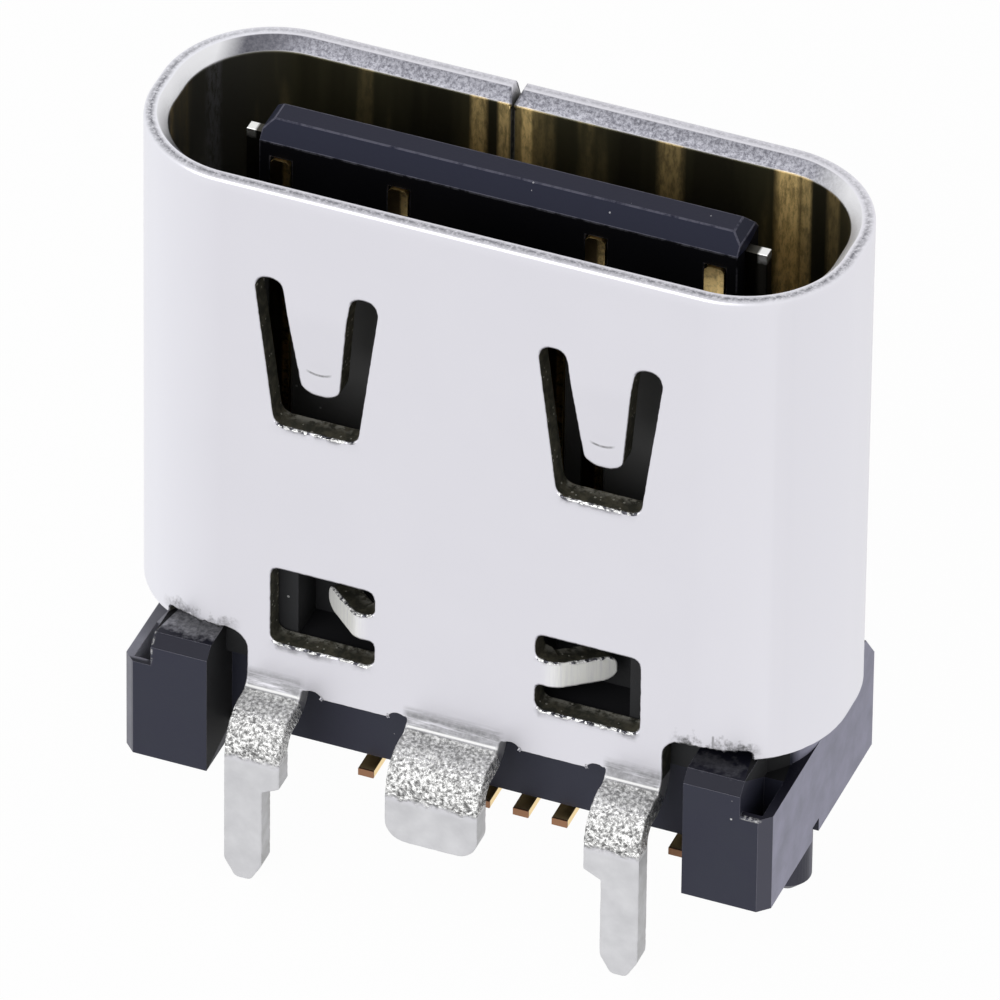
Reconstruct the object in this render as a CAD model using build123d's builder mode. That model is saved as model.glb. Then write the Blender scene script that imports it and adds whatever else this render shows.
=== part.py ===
from build123d import *
from math import cos, radians, sin, tan
import os

# Upright board-mounted receptacle. A stamped oval shell stands on the board and
# its port opens upward, around a flat tongue with two rows of contacts.
# Millimetres, +Z up. The origin is the middle of the part on the board's top
# face. The front wall, which carries the wide middle tab, faces -Y.

# Shell: the oval sheet-metal tube
shell_length = 8.94
shell_width = 3.16
shell_wall = 0.30
shell_end_radius = 1.42
rim_height = 8.70
rim_edge_radius = 0.04
lead_in_width = 0.145
lead_in_depth = 0.17

# Shell: its lower edge above the board
flat_skirt_height = 1.27
end_skirt_height = 1.86
corner_notch_rise = 0.14
corner_notch_length = 1.08
corner_notch_radius = 0.24
corner_notch_lip_radius = 0.10
relief_radius = 0.13
relief_rise = 0.09

# Shell: the butt seam of the folded sheet, in the rear wall
seam_offset = 0.45
seam_gap = 0.03
seam_mouth_width = 0.16
seam_mouth_depth = 0.14

# Shell: spring fingers in U-shaped slots, two in each wall
spring_inset = 1.25
spring_slot_drop = 1.30
spring_slot_height = 2.14
spring_slot_top_width = 1.60
spring_slot_bottom_width = 1.06
spring_slot_corner = 0.15
spring_arm_width = 0.36
spring_bend_drop = 0.35
spring_tip_gap = 0.47
spring_root_width = 0.78
spring_tip_width = 0.47
spring_set = 0.17
dimple_radius = 0.17
dimple_depth = 0.05
dimple_from_tip = 0.48

# Shell: locking tabs in the lower windows, two in each wall
lock_window_inset = 0.68
lock_window_length = 1.34
lock_window_bottom = 1.97
lock_window_top = 3.08
lock_window_corner = 0.12
lock_root_top = 2.75
lock_root_bottom = 2.34
lock_root_length = 0.10
lock_root_corner = 0.085
lock_tip_top = 2.58
lock_tip_bottom = 2.21
lock_bend_lead = 0.145
lock_bend_radius = 0.03
lock_bend_angle = 46
lock_slope_length = 0.842

# Shell: pin legs, two under each wall, and the middle tab of the front wall
leg_inset = 0.38
leg_width = 0.715
pin_width = 0.49
pin_tip_depth = 1.157
pin_tip_taper = 0.25
pin_tip_width = 0.20
leg_shoulder_height = 0.34
leg_shoulder_slope = 0.115
leg_root_height = 1.42
leg_root_lead = 0.02
bend_radius = 0.33
leg_step = 0.72
middle_tab_width = 1.194
middle_tab_clearance = 0.03
middle_tab_corner = 0.28

# Moulded base: the core in the shell, the body under it and the end blocks
core_clearance = 0.013
core_start_height = 1.40
port_floor_height = 3.35
body_width = 2.16
body_standoff = 0.20
block_inner_half = 3.06
block_front_reach = 1.89
block_rear_reach = 1.64
block_gap = 0.04
block_front_chamfer = 0.14
block_rear_chamfer_depth = 0.31
block_rear_chamfer_drop = 0.40
block_corner_chamfer = 0.14
side_wall_height = 1.40
side_wall_rear = 0.35
pocket_inner_half = 3.785
pocket_wall = 0.12
pocket_front_wall = 0.10
pocket_rear = 0.75
pocket_floor = 0.70
side_notch_front = 0.37
side_notch_rear = 0.16
side_notch_height = 0.95
side_notch_depth = 0.12
lock_pocket_margin = 0.06
lock_pocket_setback = 0.24
lock_pocket_clearance = 0.06
peg_spacing = 7.42
peg_radius = 0.30
peg_length = 1.04
peg_chamfer = 0.17

# Contacts, in two mirrored rows. Columns are in pitches from the middle.
contact_pitch = 0.50
contact_columns = (-5.5, -2.5, -1.5, -0.5, 0.5, 1.5, 2.5, 5.5)
last_short_column = 1.5
contact_width = 0.25
contact_thickness = 0.10
contact_proud = 0.03
contact_long_drop = 0.44
contact_short_drop = 0.90
contact_tip_chamfer = 0.05
tail_width = 0.20
tail_reach = 1.26
tail_bend_radius = 0.06

# Tongue, middle plate and the two wafers that hold the contact rows
insert_clearance = 0.01
tongue_thickness = 0.70
tongue_drop = 0.05
tongue_tip_thickness = 0.31
tongue_tip_slope = 0.23
tongue_end_margin = 0.155
tongue_end_chamfer = 0.12
plate_thickness = 0.15
plate_drop = 0.31
plate_overhang = 0.27
plate_latch_drop = 0.89
plate_latch_height = 1.25
plate_latch_depth = 0.22
plate_foot_height = 0.40
plate_foot_setback = 0.13
wafer_depth = 0.50
wafer_end_margin = 0.125

# Values that follow from the sizes above
inner_length = shell_length - 2 * shell_wall
inner_width = shell_width - 2 * shell_wall
inner_radius = shell_end_radius - shell_wall
outer_half = shell_width / 2
inner_half = inner_width / 2
flat_half = shell_length / 2 - shell_end_radius
through = shell_width
spring_x = flat_half - spring_inset
spring_slot_top = rim_height - spring_slot_drop
spring_slot_bottom = spring_slot_top - spring_slot_height
spring_bend_height = spring_slot_top - spring_bend_drop
spring_tip_height = spring_slot_bottom + spring_tip_gap
spring_hang = spring_bend_height - spring_tip_height
dimple_height = spring_tip_height + dimple_from_tip
dimple_set = spring_set * (spring_hang - dimple_from_tip) / spring_hang
lock_outer_x = flat_half - lock_window_inset
lock_inner_x = lock_outer_x - lock_window_length
lock_angle = radians(lock_bend_angle)
lock_root_x = lock_inner_x + lock_root_length
lock_bend_x = lock_root_x + lock_bend_lead
lock_tip_x = lock_bend_x + lock_slope_length * cos(lock_angle)
lock_slope_set = lock_slope_length * sin(lock_angle)
lock_back_bend_x = lock_bend_x - shell_wall * tan(lock_angle / 2)
lock_back_tip_x = lock_tip_x - shell_wall * sin(lock_angle)
lock_tab_depth = lock_slope_set + shell_wall * cos(lock_angle)
lock_root_share = lock_root_length / (lock_tip_x - lock_inner_x)
lock_line_top = lock_root_top + lock_root_share * (lock_tip_top - lock_root_top)
lock_line_bottom = lock_root_bottom + lock_root_share * (lock_tip_bottom - lock_root_bottom)
leg_outer_x = flat_half - leg_inset
leg_inner_x = leg_outer_x - leg_width
core_half_length = inner_length / 2 - core_clearance
core_half_width = inner_half - core_clearance
block_height = end_skirt_height - block_gap
tongue_height = rim_height - tongue_drop
plate_height = tongue_height - plate_drop
plate_latch_top = plate_height - plate_latch_drop
plate_latch_bottom = plate_latch_top - plate_latch_height
contact_long_height = tongue_height - contact_long_drop
contact_short_height = tongue_height - contact_short_drop
contact_outermost = max(contact_columns) * contact_pitch + contact_width / 2
contact_face = tongue_thickness / 2 + contact_proud
contact_back = contact_face - contact_thickness
tongue_half_length = contact_outermost + tongue_end_margin
plate_half_length = tongue_half_length + plate_overhang
wafer_half_length = contact_outermost + wafer_end_margin
wafer_inner = plate_thickness / 2 + insert_clearance
dimple_sphere = (dimple_radius**2 + dimple_depth**2) / (2 * dimple_depth)
dimple_centre = dimple_sphere - dimple_depth
spring_arm_inner = spring_slot_top_width / 2 - spring_arm_width
lock_window_rise = lock_window_top - lock_window_bottom
lock_pocket_length = lock_window_length + lock_pocket_margin - lock_pocket_setback
lock_pocket_middle = lock_inner_x - lock_pocket_margin + lock_pocket_length / 2
lock_pocket_depth = core_half_width - outer_half + lock_tab_depth + lock_pocket_clearance
leg_middle_x = leg_outer_x - leg_width / 2
pin_middle_x = leg_outer_x - pin_width / 2
notch_height = end_skirt_height + corner_notch_rise
relief_height = flat_skirt_height + relief_rise - relief_radius
leg_relief_x = leg_inner_x - relief_radius
tab_relief_x = middle_tab_width / 2 + relief_radius
root_cut_depth = leg_root_height - flat_skirt_height + relief_radius
core_radius = inner_radius - core_clearance
pocket_length = core_half_length - pocket_wall - pocket_inner_half
pocket_depth = block_front_reach - pocket_front_wall - pocket_rear
side_notch_length = side_notch_front - side_notch_rear
contact_middle = (contact_face + contact_back) / 2
contact_slot_width = contact_width + 2 * insert_clearance
contact_slot_depth = contact_thickness + 2 * insert_clearance
contact_places = [column * contact_pitch for column in contact_columns]
long_columns = [column for column in contact_columns if abs(column) > last_short_column]
long_places = [column * contact_pitch for column in long_columns]
short_places = [place for place in contact_places if place not in long_places]
plate_foot_half = wafer_half_length - plate_foot_setback


def leg_side_profile(plane, bottom):
    """Sketch the stepped side view of a leg: down the wall, outward and down."""
    step = leg_root_height - leg_root_lead - bend_radius
    half_wall = shell_wall / 2
    tight = bend_radius - half_wall
    wide = bend_radius + half_wall
    with BuildSketch(plane) as profile:
        with BuildLine():
            front = FilletPolyline(
                (-outer_half, leg_root_height),
                (-outer_half, step + half_wall),
                (-outer_half - leg_step, step + half_wall),
                (-outer_half - leg_step, bottom),
                radius=(tight, wide),
            )
            back = FilletPolyline(
                (-inner_half, leg_root_height),
                (-inner_half, step - half_wall),
                (-inner_half - leg_step, step - half_wall),
                (-inner_half - leg_step, bottom),
                radius=(wide, tight),
            )
            Line(front @ 0, back @ 0)
            Line(front @ 1, back @ 1)
        make_face()
    return profile.sketch


def four_corners(piece):
    """Return the piece and its mirror images across both middle planes."""
    pair = [piece, mirror(piece, about=Plane.YZ)]
    return pair + [mirror(copy, about=Plane.XZ) for copy in pair]


# A spring finger hangs from the top of its slot, leans into the port and
# carries a pressed dimple near its rounded tip.
with BuildPart() as spring_finger:
    with BuildSketch(Plane.YZ.offset(spring_x)):
        with BuildLine():
            Polyline(
                (-outer_half, spring_bend_height),
                (-outer_half + spring_set, spring_tip_height),
                (-inner_half + spring_set, spring_tip_height),
                (-inner_half, spring_bend_height),
                close=True,
            )
        make_face()
    extrude(amount=spring_root_width, both=True)
    with BuildSketch(Plane.XZ) as finger_outline:
        with BuildLine():
            Polyline(
                (spring_x - spring_root_width / 2, spring_bend_height),
                (spring_x + spring_root_width / 2, spring_bend_height),
                (spring_x + spring_tip_width / 2, spring_tip_height),
                (spring_x - spring_tip_width / 2, spring_tip_height),
                close=True,
            )
        make_face()
        fillet(finger_outline.vertices().group_by(Axis.Y)[0], 0.45 * spring_tip_width)
    extrude(amount=through, mode=Mode.INTERSECT)
    with Locations((spring_x, -inner_half + dimple_set - dimple_centre, dimple_height)):
        Sphere(dimple_sphere)
    with Locations((spring_x, -outer_half + dimple_set - dimple_centre, dimple_height)):
        Sphere(dimple_sphere, mode=Mode.SUBTRACT)

# A locking tab is rooted at the window's side nearest the middle. It tapers
# outward and slants in towards the moulded core.
with BuildPart() as lock_tab:
    with BuildSketch(Plane.XY.offset(lock_window_bottom)):
        with BuildLine():
            face = FilletPolyline(
                (lock_root_x, -outer_half),
                (lock_bend_x, -outer_half),
                (lock_tip_x, -outer_half + lock_slope_set),
                radius=lock_bend_radius + shell_wall,
            )
            back = FilletPolyline(
                (lock_root_x, -inner_half),
                (lock_back_bend_x, -inner_half),
                (lock_back_tip_x, -outer_half + lock_tab_depth),
                radius=lock_bend_radius,
            )
            Line(face @ 0, back @ 0)
            Line(face @ 1, back @ 1)
        make_face()
    extrude(amount=lock_window_rise)
    with BuildSketch(Plane.XZ) as tab_outline:
        with BuildLine():
            Polyline(
                (lock_root_x, lock_line_top),
                (lock_root_x, lock_line_bottom),
                (lock_tip_x, lock_tip_bottom),
                (lock_tip_x, lock_tip_top),
                close=True,
            )
        make_face()
        tip_corner = 0.45 * (lock_tip_top - lock_tip_bottom)
        fillet(tab_outline.vertices().group_by(Axis.X)[-1], tip_corner)
    extrude(amount=through, mode=Mode.INTERSECT)

# A pin leg steps out of the wall, then narrows to a pin with a pointed tip.
with BuildPart() as pin_leg:
    extrude(leg_side_profile(Plane.YZ.offset(leg_inner_x), -pin_tip_depth), amount=leg_width)
    with BuildSketch(Plane.XZ):
        with BuildLine():
            Polyline(
                (leg_inner_x, leg_root_height),
                (leg_outer_x, leg_root_height),
                (leg_outer_x, pin_tip_taper - pin_tip_depth),
                (pin_middle_x + pin_tip_width / 2, -pin_tip_depth),
                (pin_middle_x - pin_tip_width / 2, -pin_tip_depth),
                (leg_outer_x - pin_width, pin_tip_taper - pin_tip_depth),
                (leg_outer_x - pin_width, leg_shoulder_height - leg_shoulder_slope),
                (leg_inner_x, leg_shoulder_height),
                close=True,
            )
        make_face()
    extrude(amount=through, mode=Mode.INTERSECT)

# The middle tab has the same step and ends just above the board.
with BuildPart() as middle_tab:
    extrude(leg_side_profile(Plane.YZ, middle_tab_clearance), amount=middle_tab_width / 2, both=True)
    foot = middle_tab.edges().filter_by(Axis.Y).group_by(Axis.Z)[0]
    fillet(foot, middle_tab_corner)

springs = four_corners(spring_finger.part)
locks = four_corners(lock_tab.part)
pins = four_corners(pin_leg.part)

# The shell is one folded sheet with everything above bent out of its walls.
with BuildPart() as shell:
    with BuildSketch(Plane.XY.offset(flat_skirt_height)):
        RectangleRounded(shell_length, shell_width, shell_end_radius)
        RectangleRounded(inner_length, inner_width, inner_radius, mode=Mode.SUBTRACT)
    extrude(amount=rim_height - flat_skirt_height)
    rim = shell.faces().sort_by(Axis.Z)[-1]
    chamfer(rim.inner_wires().edges(), length=lead_in_width, length2=lead_in_depth, reference=rim)
    rim = shell.faces().sort_by(Axis.Z)[-1]
    fillet(rim.outer_wire().edges(), rim_edge_radius)

    # Lower edge: the ends stop higher than the flat walls, with a deeper
    # notch beside each leg
    with BuildSketch(Plane.XZ):
        with BuildLine():
            FilletPolyline(
                (leg_outer_x, flat_skirt_height - shell_wall),
                (leg_outer_x, notch_height),
                (leg_outer_x + corner_notch_length, notch_height),
                (leg_outer_x + corner_notch_length, end_skirt_height),
                (shell_length, end_skirt_height),
                (shell_length, flat_skirt_height - shell_wall),
                radius=(0, corner_notch_radius, corner_notch_lip_radius, 0, 0, 0),
                close=True,
            )
        make_face()
        mirror(about=Plane.YZ)
    extrude(amount=through, both=True, mode=Mode.SUBTRACT)

    # Leg roots, with a round relief beside each bend
    with BuildSketch(Plane.XZ):
        with Locations((leg_middle_x, leg_root_height), (-leg_middle_x, leg_root_height)):
            Rectangle(leg_width, root_cut_depth, align=(Align.CENTER, Align.MAX))
        with Locations((leg_relief_x, relief_height), (-leg_relief_x, relief_height)):
            Circle(relief_radius)
    extrude(amount=through, both=True, mode=Mode.SUBTRACT)
    with BuildSketch(Plane.XZ):
        with Locations((0, leg_root_height)):
            Rectangle(middle_tab_width, root_cut_depth, align=(Align.CENTER, Align.MAX))
        with Locations((tab_relief_x, relief_height), (-tab_relief_x, relief_height)):
            Circle(relief_radius)
    extrude(amount=through, mode=Mode.SUBTRACT)

    # U-shaped slots around the spring fingers
    with BuildSketch(Plane.XZ) as spring_slots:
        with BuildLine():
            Polyline(
                (spring_x - spring_slot_top_width / 2, spring_slot_top),
                (spring_x - spring_arm_inner, spring_slot_top),
                (spring_x - spring_root_width / 2, spring_bend_height),
                (spring_x + spring_root_width / 2, spring_bend_height),
                (spring_x + spring_arm_inner, spring_slot_top),
                (spring_x + spring_slot_top_width / 2, spring_slot_top),
                (spring_x + spring_slot_bottom_width / 2, spring_slot_bottom),
                (spring_x - spring_slot_bottom_width / 2, spring_slot_bottom),
                close=True,
            )
        make_face()
        fillet(spring_slots.vertices().group_by(Axis.Y)[0], spring_slot_corner)
        fillet(spring_slots.vertices().group_by(Axis.Y)[-1], 0.45 * spring_arm_width)
        mirror(about=Plane.YZ)
    extrude(amount=through, both=True, mode=Mode.SUBTRACT)

    # Windows of the locking tabs, around the tabs' roots
    with BuildSketch(Plane.XZ):
        with BuildLine():
            FilletPolyline(
                (lock_inner_x, lock_window_top),
                (lock_outer_x, lock_window_top),
                (lock_outer_x, lock_window_bottom),
                (lock_inner_x, lock_window_bottom),
                (lock_inner_x, lock_root_bottom),
                (lock_root_x, lock_line_bottom),
                (lock_root_x, lock_line_top),
                (lock_inner_x, lock_root_top),
                radius=4 * (lock_window_corner,) + (lock_root_corner, 0, 0, lock_root_corner),
                close=True,
            )
        make_face()
        mirror(about=Plane.YZ)
    extrude(amount=through, both=True, mode=Mode.SUBTRACT)

    # Bent features
    add(springs + locks + pins)
    add(middle_tab.part)

    # Butt seam in the rear wall, opened to a small V at the rim
    with BuildSketch(Plane.XZ):
        with Locations((-seam_offset, rim_height)):
            Rectangle(seam_gap, rim_height, align=(Align.CENTER, Align.MAX))
        with BuildLine():
            Polyline(
                (-seam_offset - seam_mouth_width / 2, rim_height),
                (-seam_offset + seam_mouth_width / 2, rim_height),
                (-seam_offset, rim_height - seam_mouth_depth),
                close=True,
            )
        make_face()
    extrude(amount=-through, mode=Mode.SUBTRACT)
shell.part.label = "shell"

# The moulded base: a body with an end block and a peg at each end, and an oval
# core that fills the foot of the shell
with BuildPart() as base_housing:
    with BuildSketch(Plane.XY.offset(body_standoff)):
        Rectangle(2 * core_half_length, body_width)
    extrude(amount=core_start_height - body_standoff)

    # Right end block, by its side view
    with BuildSketch(Plane.YZ.offset(block_inner_half)):
        with BuildLine():
            Polyline(
                (-block_front_reach, 0),
                (-block_front_reach, block_height - block_front_chamfer),
                (-block_front_reach + block_front_chamfer, block_height),
                (block_rear_reach - block_rear_chamfer_depth, block_height),
                (block_rear_reach, block_height - block_rear_chamfer_drop),
                (block_rear_reach, 0),
                close=True,
            )
        make_face()
    extrude(amount=core_half_length - block_inner_half)
    corner = base_housing.edges().filter_by(Axis.Z).group_by(Axis.Y)[0].sort_by(Axis.X)[-1]
    chamfer(corner, block_corner_chamfer)

    # Towards the front the block's outer strip is lower, around an open pocket
    with BuildSketch(Plane.XY.offset(block_height)):
        with Locations((pocket_inner_half, side_wall_rear)):
            Rectangle(shell_width, shell_length, align=(Align.MIN, Align.MAX))
    extrude(amount=side_wall_height - block_height, mode=Mode.SUBTRACT)
    with BuildSketch(Plane.XY.offset(pocket_floor)):
        with Locations((pocket_inner_half, -pocket_rear)):
            Rectangle(pocket_length, pocket_depth, align=(Align.MIN, Align.MAX))
    extrude(amount=block_height - pocket_floor, mode=Mode.SUBTRACT)

    # Notch at the foot of the outer wall, and the peg
    with BuildSketch(Plane.XY):
        with Locations((core_half_length, -side_notch_rear)):
            Rectangle(2 * side_notch_depth, side_notch_length, align=(Align.CENTER, Align.MAX))
    extrude(amount=side_notch_height, mode=Mode.SUBTRACT)
    with BuildSketch(Plane.XY):
        with Locations((peg_spacing / 2, 0)):
            Circle(peg_radius)
    extrude(amount=-peg_length)
    chamfer(base_housing.edges().group_by(Axis.Z)[0], peg_chamfer)
    mirror(about=Plane.YZ)

    # Oval core, with a hollow behind each locking tab
    with BuildSketch(Plane.XY.offset(core_start_height)):
        RectangleRounded(2 * core_half_length, 2 * core_half_width, core_radius)
    extrude(amount=port_floor_height - core_start_height)
    with BuildSketch(Plane.XY.offset(lock_window_bottom - lock_pocket_margin)):
        with GridLocations(2 * lock_pocket_middle, 2 * core_half_width, 2, 2):
            Rectangle(lock_pocket_length, 2 * lock_pocket_depth)
    extrude(amount=lock_window_rise + 2 * lock_pocket_margin, mode=Mode.SUBTRACT)

    # Opening for the wafers
    with BuildSketch(Plane.XY):
        Rectangle(2 * (wafer_half_length + insert_clearance), 2 * (wafer_depth + insert_clearance))
    extrude(amount=port_floor_height, mode=Mode.SUBTRACT)
base_housing.part.label = "base_housing"

# The front wafer holds a row of contacts in closed slots
with BuildPart() as front_wafer:
    with BuildSketch(Plane.XY.offset(body_standoff)):
        with Locations((0, -wafer_inner)):
            Rectangle(2 * wafer_half_length, wafer_depth - wafer_inner, align=(Align.CENTER, Align.MAX))
        with Locations([(x, -contact_middle) for x in contact_places]):
            Rectangle(contact_slot_width, contact_slot_depth, mode=Mode.SUBTRACT)
    extrude(amount=port_floor_height - body_standoff)
front_wafer.part.label = "front_wafer"

rear_wafer = mirror(front_wafer.part, about=Plane.XZ)
rear_wafer.label = "rear_wafer"

# The middle plate stands between the rows. Its side lugs show beside the
# tongue, above the recesses that a plug's latches take.
with BuildPart() as mid_plate:
    with BuildSketch(Plane.XZ):
        with BuildLine():
            Polyline(
                (0, plate_foot_height),
                (plate_foot_half, plate_foot_height),
                (plate_foot_half, port_floor_height + insert_clearance),
                (plate_half_length, port_floor_height + insert_clearance),
                (plate_half_length, plate_latch_bottom),
                (plate_half_length - plate_latch_depth, plate_latch_bottom),
                (plate_half_length - plate_latch_depth, plate_latch_top),
                (plate_half_length, plate_latch_top),
                (plate_half_length, plate_height),
                (0, plate_height),
                close=True,
            )
        make_face()
        mirror(about=Plane.YZ)
    extrude(amount=plate_thickness / 2, both=True)
mid_plate.part.label = "mid_plate"

# The tongue is moulded around the plate, with a wedge-shaped tip and a groove
# for each contact.
with BuildPart() as tongue:
    with BuildSketch(Plane.YZ):
        with BuildLine():
            Polyline(
                (-tongue_thickness / 2, port_floor_height),
                (-tongue_thickness / 2, tongue_height - tongue_tip_slope),
                (-tongue_tip_thickness / 2, tongue_height),
                (tongue_tip_thickness / 2, tongue_height),
                (tongue_thickness / 2, tongue_height - tongue_tip_slope),
                (tongue_thickness / 2, port_floor_height),
                close=True,
            )
        make_face()
    extrude(amount=tongue_half_length, both=True)
    tip_ends = tongue.edges().filter_by(Axis.Y).group_by(Axis.Z)[-1]
    chamfer(tip_ends, tongue_end_chamfer)
    with BuildSketch(Plane.XY.offset(port_floor_height)):
        Rectangle(2 * tongue_half_length, 2 * wafer_inner)
    extrude(amount=plate_height + insert_clearance - port_floor_height, mode=Mode.SUBTRACT)
    for height, places in ((contact_long_height, long_places), (contact_short_height, short_places)):
        with BuildSketch(Plane.XY.offset(port_floor_height)):
            with Locations([(x, y) for x in places for y in (-contact_middle, contact_middle)]):
                Rectangle(contact_slot_width, contact_slot_depth)
        extrude(amount=height + insert_clearance - port_floor_height, mode=Mode.SUBTRACT)
tongue.part.label = "tongue"


def contact_piece(x, height):
    """Build one front contact: a blade on the tongue and a tail on the board."""
    with BuildPart() as contact:
        with BuildSketch(Plane.YZ.offset(x)):
            with BuildLine():
                heel = FilletPolyline(
                    (-tail_reach, 0),
                    (-contact_back, 0),
                    (-contact_back, height),
                    radius=tail_bend_radius + contact_thickness,
                )
                toe = FilletPolyline(
                    (-tail_reach, contact_thickness),
                    (-contact_face, contact_thickness),
                    (-contact_face, height),
                    radius=tail_bend_radius,
                )
                Line(heel @ 0, toe @ 0)
                Line(heel @ 1, toe @ 1)
            make_face()
        extrude(amount=contact_width / 2, both=True)
        tip = contact.edges().filter_by(Axis.Y).group_by(Axis.Z)[-1]
        chamfer(tip, contact_tip_chamfer)
        with BuildSketch(Plane.XY):
            with GridLocations(contact_width + tail_width, 0, 2, 1):
                with Locations((x, -contact_face)):
                    Rectangle(contact_width, tail_reach, align=(Align.CENTER, Align.MAX))
        extrude(amount=body_standoff, mode=Mode.SUBTRACT)
    return contact.part


os.makedirs("parts", exist_ok=True)
export_step(shell.part, "parts/shell.step")
export_step(base_housing.part, "parts/base_housing.step")
export_step(tongue.part, "parts/tongue.step")
export_step(mid_plate.part, "parts/mid_plate.step")
export_step(front_wafer.part, "parts/front_wafer.step")
export_step(rear_wafer, "parts/rear_wafer.step")

# Front contacts are numbered from the left, and each rear one mirrors the
# front contact that it stands behind.
for number, place in enumerate(contact_places, start=1):
    length = contact_long_height if place in long_places else contact_short_height
    front_contact = contact_piece(place, length)
    front_contact.label = f"front_contact_{number}"
    export_step(front_contact, f"parts/{front_contact.label}.step")
    rear_contact = mirror(front_contact, about=Plane.XZ)
    rear_contact.label = f"rear_contact_{number}"
    export_step(rear_contact, f"parts/{rear_contact.label}.step")
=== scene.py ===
import math
import random

import bmesh
import bpy
import numpy as np
from mathutils import Matrix, Vector, geometry, kdtree, noise


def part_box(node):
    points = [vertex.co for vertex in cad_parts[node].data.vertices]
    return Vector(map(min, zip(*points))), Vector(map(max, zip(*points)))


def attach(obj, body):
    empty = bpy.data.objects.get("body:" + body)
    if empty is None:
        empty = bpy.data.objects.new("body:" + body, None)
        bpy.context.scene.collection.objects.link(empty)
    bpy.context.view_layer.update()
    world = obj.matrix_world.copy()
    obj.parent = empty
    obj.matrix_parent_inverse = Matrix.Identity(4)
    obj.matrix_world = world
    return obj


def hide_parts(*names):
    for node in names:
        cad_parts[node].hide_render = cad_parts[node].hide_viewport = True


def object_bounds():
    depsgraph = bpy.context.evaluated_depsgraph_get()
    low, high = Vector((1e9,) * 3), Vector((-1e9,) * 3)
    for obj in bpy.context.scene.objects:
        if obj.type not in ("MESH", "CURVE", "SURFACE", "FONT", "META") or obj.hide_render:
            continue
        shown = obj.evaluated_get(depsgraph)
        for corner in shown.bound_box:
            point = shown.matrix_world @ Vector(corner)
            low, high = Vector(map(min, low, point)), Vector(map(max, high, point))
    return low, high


# An upright board-mounted receptacle: a folded oval sheet shell on a moulded base.
# Meshes are worked out in millimetres and scaled to metres when they are finished.

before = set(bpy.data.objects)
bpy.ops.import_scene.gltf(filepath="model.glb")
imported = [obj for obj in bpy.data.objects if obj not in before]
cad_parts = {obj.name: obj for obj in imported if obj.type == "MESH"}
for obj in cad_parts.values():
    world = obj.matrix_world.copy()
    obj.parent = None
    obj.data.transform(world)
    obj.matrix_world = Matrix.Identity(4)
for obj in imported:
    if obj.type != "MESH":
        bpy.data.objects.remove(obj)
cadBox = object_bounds()
millimetre = 0.001
print("frame loaded:", len(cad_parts), "nodes")


# Camera

viewSettings = {
    "place": (66.988, -173.111, 148.177),   # millimetres from the board's middle
    "azimuth": 21.17,                       # degrees
    "elevation": 37.90,
    "roll": 0.74,
    "lens": 709.7,
}


def makeCamera(settings):
    azimuth, elevation, roll = (math.radians(settings[k]) for k in ("azimuth", "elevation", "roll"))
    flat = math.cos(elevation)
    back = Vector((math.sin(azimuth) * flat, -math.cos(azimuth) * flat, math.sin(elevation)))
    level = Vector((math.cos(azimuth), math.sin(azimuth), 0))
    upright = back.cross(level)
    right = level * math.cos(roll) + upright * math.sin(roll)
    up = upright * math.cos(roll) - level * math.sin(roll)
    data = bpy.data.cameras.new("photoCamera")
    data.sensor_width = 36
    data.lens = settings["lens"]
    data.clip_start = 0.01
    data.clip_end = 5
    camera = bpy.data.objects.new("photoCamera", data)
    turned = Matrix((right, up, back)).transposed().to_4x4()
    turned.translation = Vector(settings["place"]) * millimetre
    camera.matrix_world = turned
    bpy.context.scene.collection.objects.link(camera)
    bpy.context.scene.camera = camera


makeCamera(viewSettings)
print("camera set")


# Helpers for shader nodes

def newMaterial(name):
    material = bpy.data.materials.new(name)
    material.use_nodes = True
    material.node_tree.nodes.clear()
    return material, material.node_tree


def addNode(tree, kind, values=None, **settings):
    # values go to sockets by name or place: a number, a colour or another node's socket
    node = tree.nodes.new(kind)
    for key, value in settings.items():
        setattr(node, key, value)
    for key, value in (values or {}).items():
        if isinstance(value, bpy.types.NodeSocket):
            tree.links.new(value, node.inputs[key])
        else:
            node.inputs[key].default_value = value
    return node


def calc(tree, operation, first, second=0.0, clamp=False):
    values = {0: first, 1: second}
    return addNode(tree, "ShaderNodeMath", values, operation=operation, use_clamp=clamp).outputs[0]


def product(tree, *factors):
    result = factors[0]
    for factor in factors[1:]:
        result = calc(tree, "MULTIPLY", result, factor)
    return result


def larger(tree, first, second):
    return calc(tree, "MAXIMUM", first, second)


def distanceFrom(tree, value, place):
    return calc(tree, "ABSOLUTE", calc(tree, "SUBTRACT", value, place))


def mixColour(tree, share, first, second):
    values = {0: share, 6: first, 7: second}
    return addNode(tree, "ShaderNodeMix", values, data_type="RGBA").outputs[2]


def mixValue(tree, share, first, second):
    return addNode(tree, "ShaderNodeMix", {0: share, 2: first, 3: second}).outputs[0]


def remap(tree, value, low, high, newLow=0.0, newHigh=1.0):
    values = {0: value, 1: low, 2: high, 3: newLow, 4: newHigh}
    return addNode(tree, "ShaderNodeMapRange", values).outputs[0]


def attribute(tree, name):
    return addNode(tree, "ShaderNodeAttribute", attribute_name=name).outputs["Fac"]


def noiseAt(tree, vector, scale, detail=2.0, roughness=0.5):
    values = {"Vector": vector, "Scale": scale, "Detail": detail, "Roughness": roughness}
    return addNode(tree, "ShaderNodeTexNoise", values).outputs["Fac"]


def stretched(tree, vector, factors):
    return addNode(tree, "ShaderNodeVectorMath", {0: vector, 1: factors}, operation="MULTIPLY").outputs[0]


def stretchedNoise(tree, vector, factors, detail=2.0, roughness=0.5):
    return noiseAt(tree, stretched(tree, vector, factors), 1.0, detail, roughness)


def splitVector(tree, vector):
    return addNode(tree, "ShaderNodeSeparateXYZ", {0: vector}).outputs


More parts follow.
